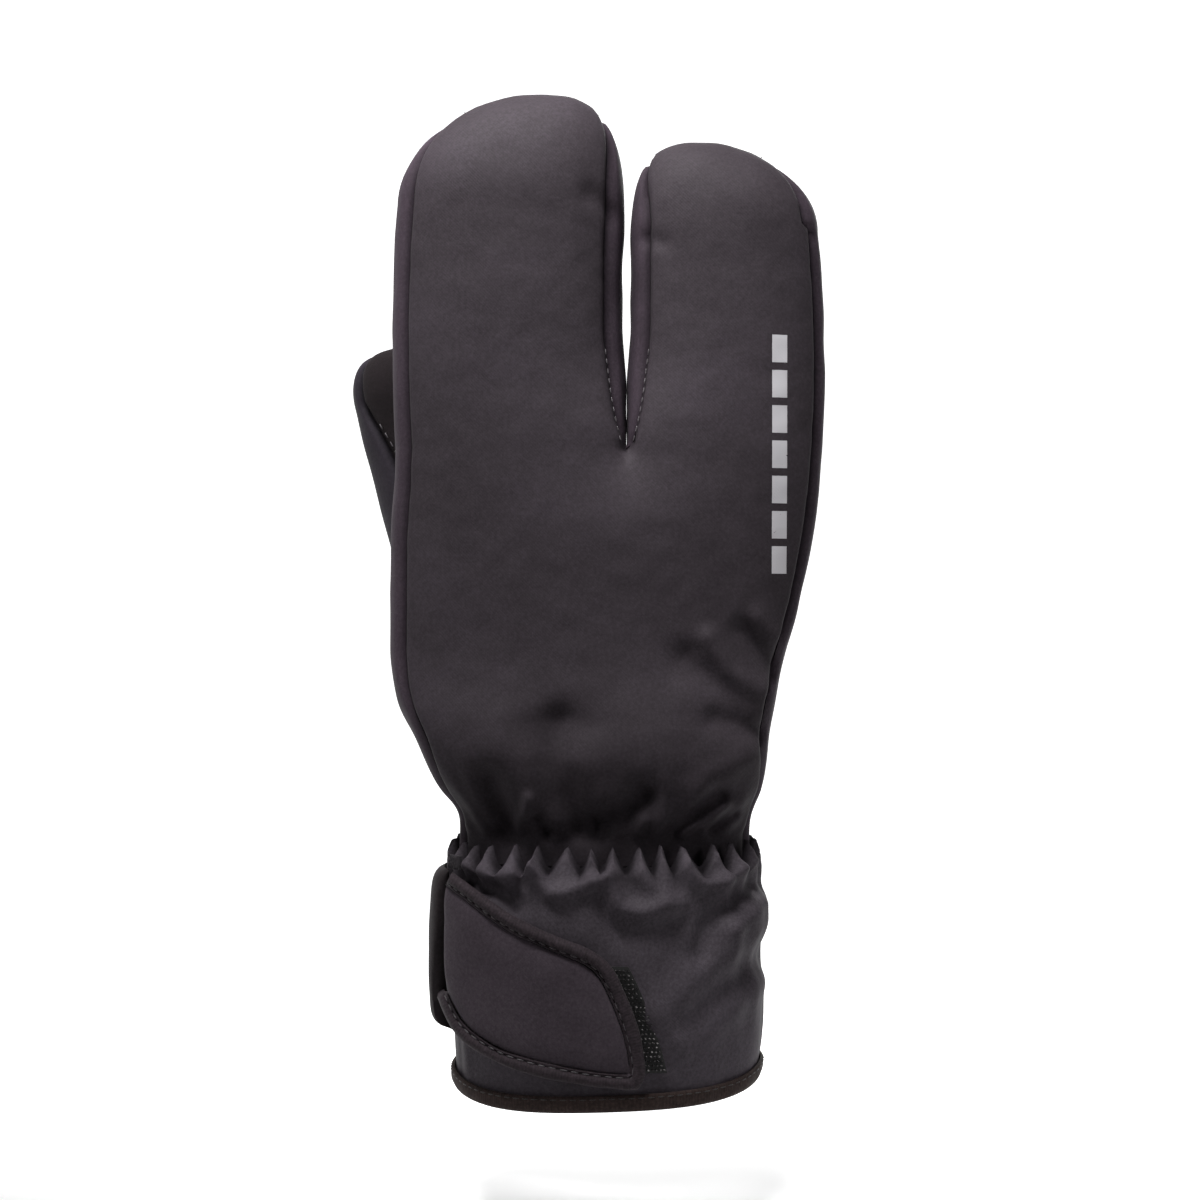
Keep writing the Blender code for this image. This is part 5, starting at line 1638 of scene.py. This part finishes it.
backPanel = makePanel("backPanel", -1, backCloth)
opening = {
    "x": thumb["x"], "z": thumb["z"], "width": thumb["openingWidth"], "height": thumb["openingHeight"],
    "reach": 1.35, "above": 8 * mm,  # its jagged edge lies within so many times its size, and not lower
}
palmPanel = makePanel("palmPanel", 1, palmCloth, opening)
indexGusset = makeStrip("indexGusset", stripRows("wide", False), gussetCloth)
littleGusset = makeStrip("littleGusset", stripRows("narrow", False), gussetCloth)
fourchette = makeFourchette("fourchettePiece", gussetCloth)
print("hand ready")

thumbInner = makeThumbHalf("thumbInner", thumb["firstSeam"], thumb["secondSeam"], thumbRough)
thumbOuter = makeThumbHalf("thumbOuter", thumb["secondSeam"], thumb["firstSeam"] + 2 * math.pi, thumbCloth)
print("thumb ready")

cuffPiece = makeCuff("cuffPiece", cuffClothWithPaintedSheen)
hemPiece = makeHem("hemPiece", hemTape)
print("cuff ready")

strapPiece = makeStrap("strapPiece", strapCloth)
strapEdge = makeStrapBinding("strapEdge", strapTape)
hookBase = makeGrid("hookBase", hookTape, hookPatch, hookPatchPoint)
hooks = makeHooks("hooks", hookNylonGlints)
foldPiece = makeGrid("foldPiece", foldClothShaded, strapFold, strapFoldPoint)
tabPiece = makeGrid("tabPiece", tabWeb, strapTab, strapTabPoint)
print("strap ready")


def strapStitchRow():
    row = []
    for x, z in strapPath(strap["bindingWidth"] * strap["stitchAt"], strap["stitchPoints"]):
        point, up = overCloth(lambda a, b: frontPoint(a, b, strap["face"]), x, z)
        row.append((point + up * (strapWave(x, z) - strap["stitchSunk"]), up))
    return row[1:-1]


def hemStitchRow():
    row = []
    z = hem["height"] * hem["stitchAt"]
    for sample in range(hem["samples"] + 1):
        angle = 2 * math.pi * sample / hem["samples"]
        lift = hemLift(*cuffPoint(angle, z, 0.0)[:2])
        outward = hem["gap"] + hem["thickness"] + hemWaver(angle) + hem["stitchOut"]
        point = Vector(cuffPoint(angle, z, outward, lift))
        up = Vector((math.cos(angle) / 40, math.sin(angle) / 30, 0)).normalized()
        row.append((point, up))
    return row


def thumbStitchRow():
    row = []
    angle = thumb["firstSeam"] + thumb["stitchInset"] / (thumb["width"] / 2)
    for step in range(*thumb["stitchRows"]):
        share = step / thumb["rows"]
        here = Vector(thumbPoint(share, 0.0, angle, 0.0))
        centre = Vector(thumbPoint(share, 0.0, angle, 8 * mm))
        up = (here - centre).normalized()
        row.append((here + up * thumbCrease(here, share), up))
    return row


crotchStitch = {"low": 2 * mm, "high": 26 * mm, "inset": 1.2 * mm, "sunk": 0.15 * mm, "steps": 29}


def crotchStitchRow(name):
    row = []
    outward = stalls[name]["side"]
    for step in range(crotchStitch["steps"] + 1):
        share = step / crotchStitch["steps"]
        z = mix(crotch + crotchStitch["low"], crotch + crotchStitch["high"], share)
        _, slotEdge = edgePlaces(name, z, None, 0.0)
        x = slotEdge + outward * (seamDistance(name, z, None, True) + crotchStitch["inset"])
        point, up = overCloth(lambda a, b: raised(name, a, b, None, -1, 0.0), x, z)
        row.append((point - up * crotchStitch["sunk"], up))
    return row


# pitch, length and thickness of each row's stitches
strapRow = makeStitches("strapStitches", [strapStitchRow()], 3.0 * mm, 2.2 * mm, 0.42 * mm, thread)
hemRow = makeStitches("hemStitches", [hemStitchRow()], 2.6 * mm, 1.9 * mm, 0.3 * mm, darkThread)
thumbRows = makeStitches("thumbStitches", [thumbStitchRow()], 3.0 * mm, 2.0 * mm, 0.38 * mm, thread)
slotRows = [crotchStitchRow(name) for name in ("wide", "narrow")]
crotchRows = makeStitches("crotchStitches", slotRows, 2.6 * mm, 1.7 * mm, 0.34 * mm, thread)
print("stitches ready")

# each piece: the CAD node that it stands for, its material slot, and how full its padding is
padded = [
    (backPanel, "back_panel", "softshell", 0.7),
    (palmPanel, "palm_panel", "palm_suede", 0.7),
    (indexGusset, "index_gusset", "gusset_softshell", 0.6),
    (littleGusset, "little_gusset", "gusset_softshell", 0.6),
    (fourchette, "fourchette", "gusset_softshell", 0.6),
    (thumbOuter, "thumb_outer", "thumb_softshell", 0.7),
    (thumbInner, "thumb_inner", "thumb_suede", 0.7),
    (cuffPiece, "cuff", "cuff_softshell", 0.4),
    (foldPiece, "strap_fold", "strap_fold_cloth", 0.6),
]
plain = [
    (hemPiece, "hem_binding", "hem_tape"),
    (strapPiece, "wrist_strap", "strap_laminate"),
    (strapEdge, "strap_binding", "strap_tape"),
    (hookBase, "hook_patch", "hook_tape"),
    (tabPiece, "strap_tab", "tab_webbing"),
]
for piece, node, finish, fill in padded:
    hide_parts(node)
    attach(piece, "root")
for piece, node, finish in plain:
    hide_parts(node)
    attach(piece, "root")
for piece, finish in (
    (hooks, "hook_tape"), (strapRow, "strap_tape"), (hemRow, "hem_tape"),
    (thumbRows, "thumb_suede"), (crotchRows, "gusset_softshell"),
):
    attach(piece, "root")
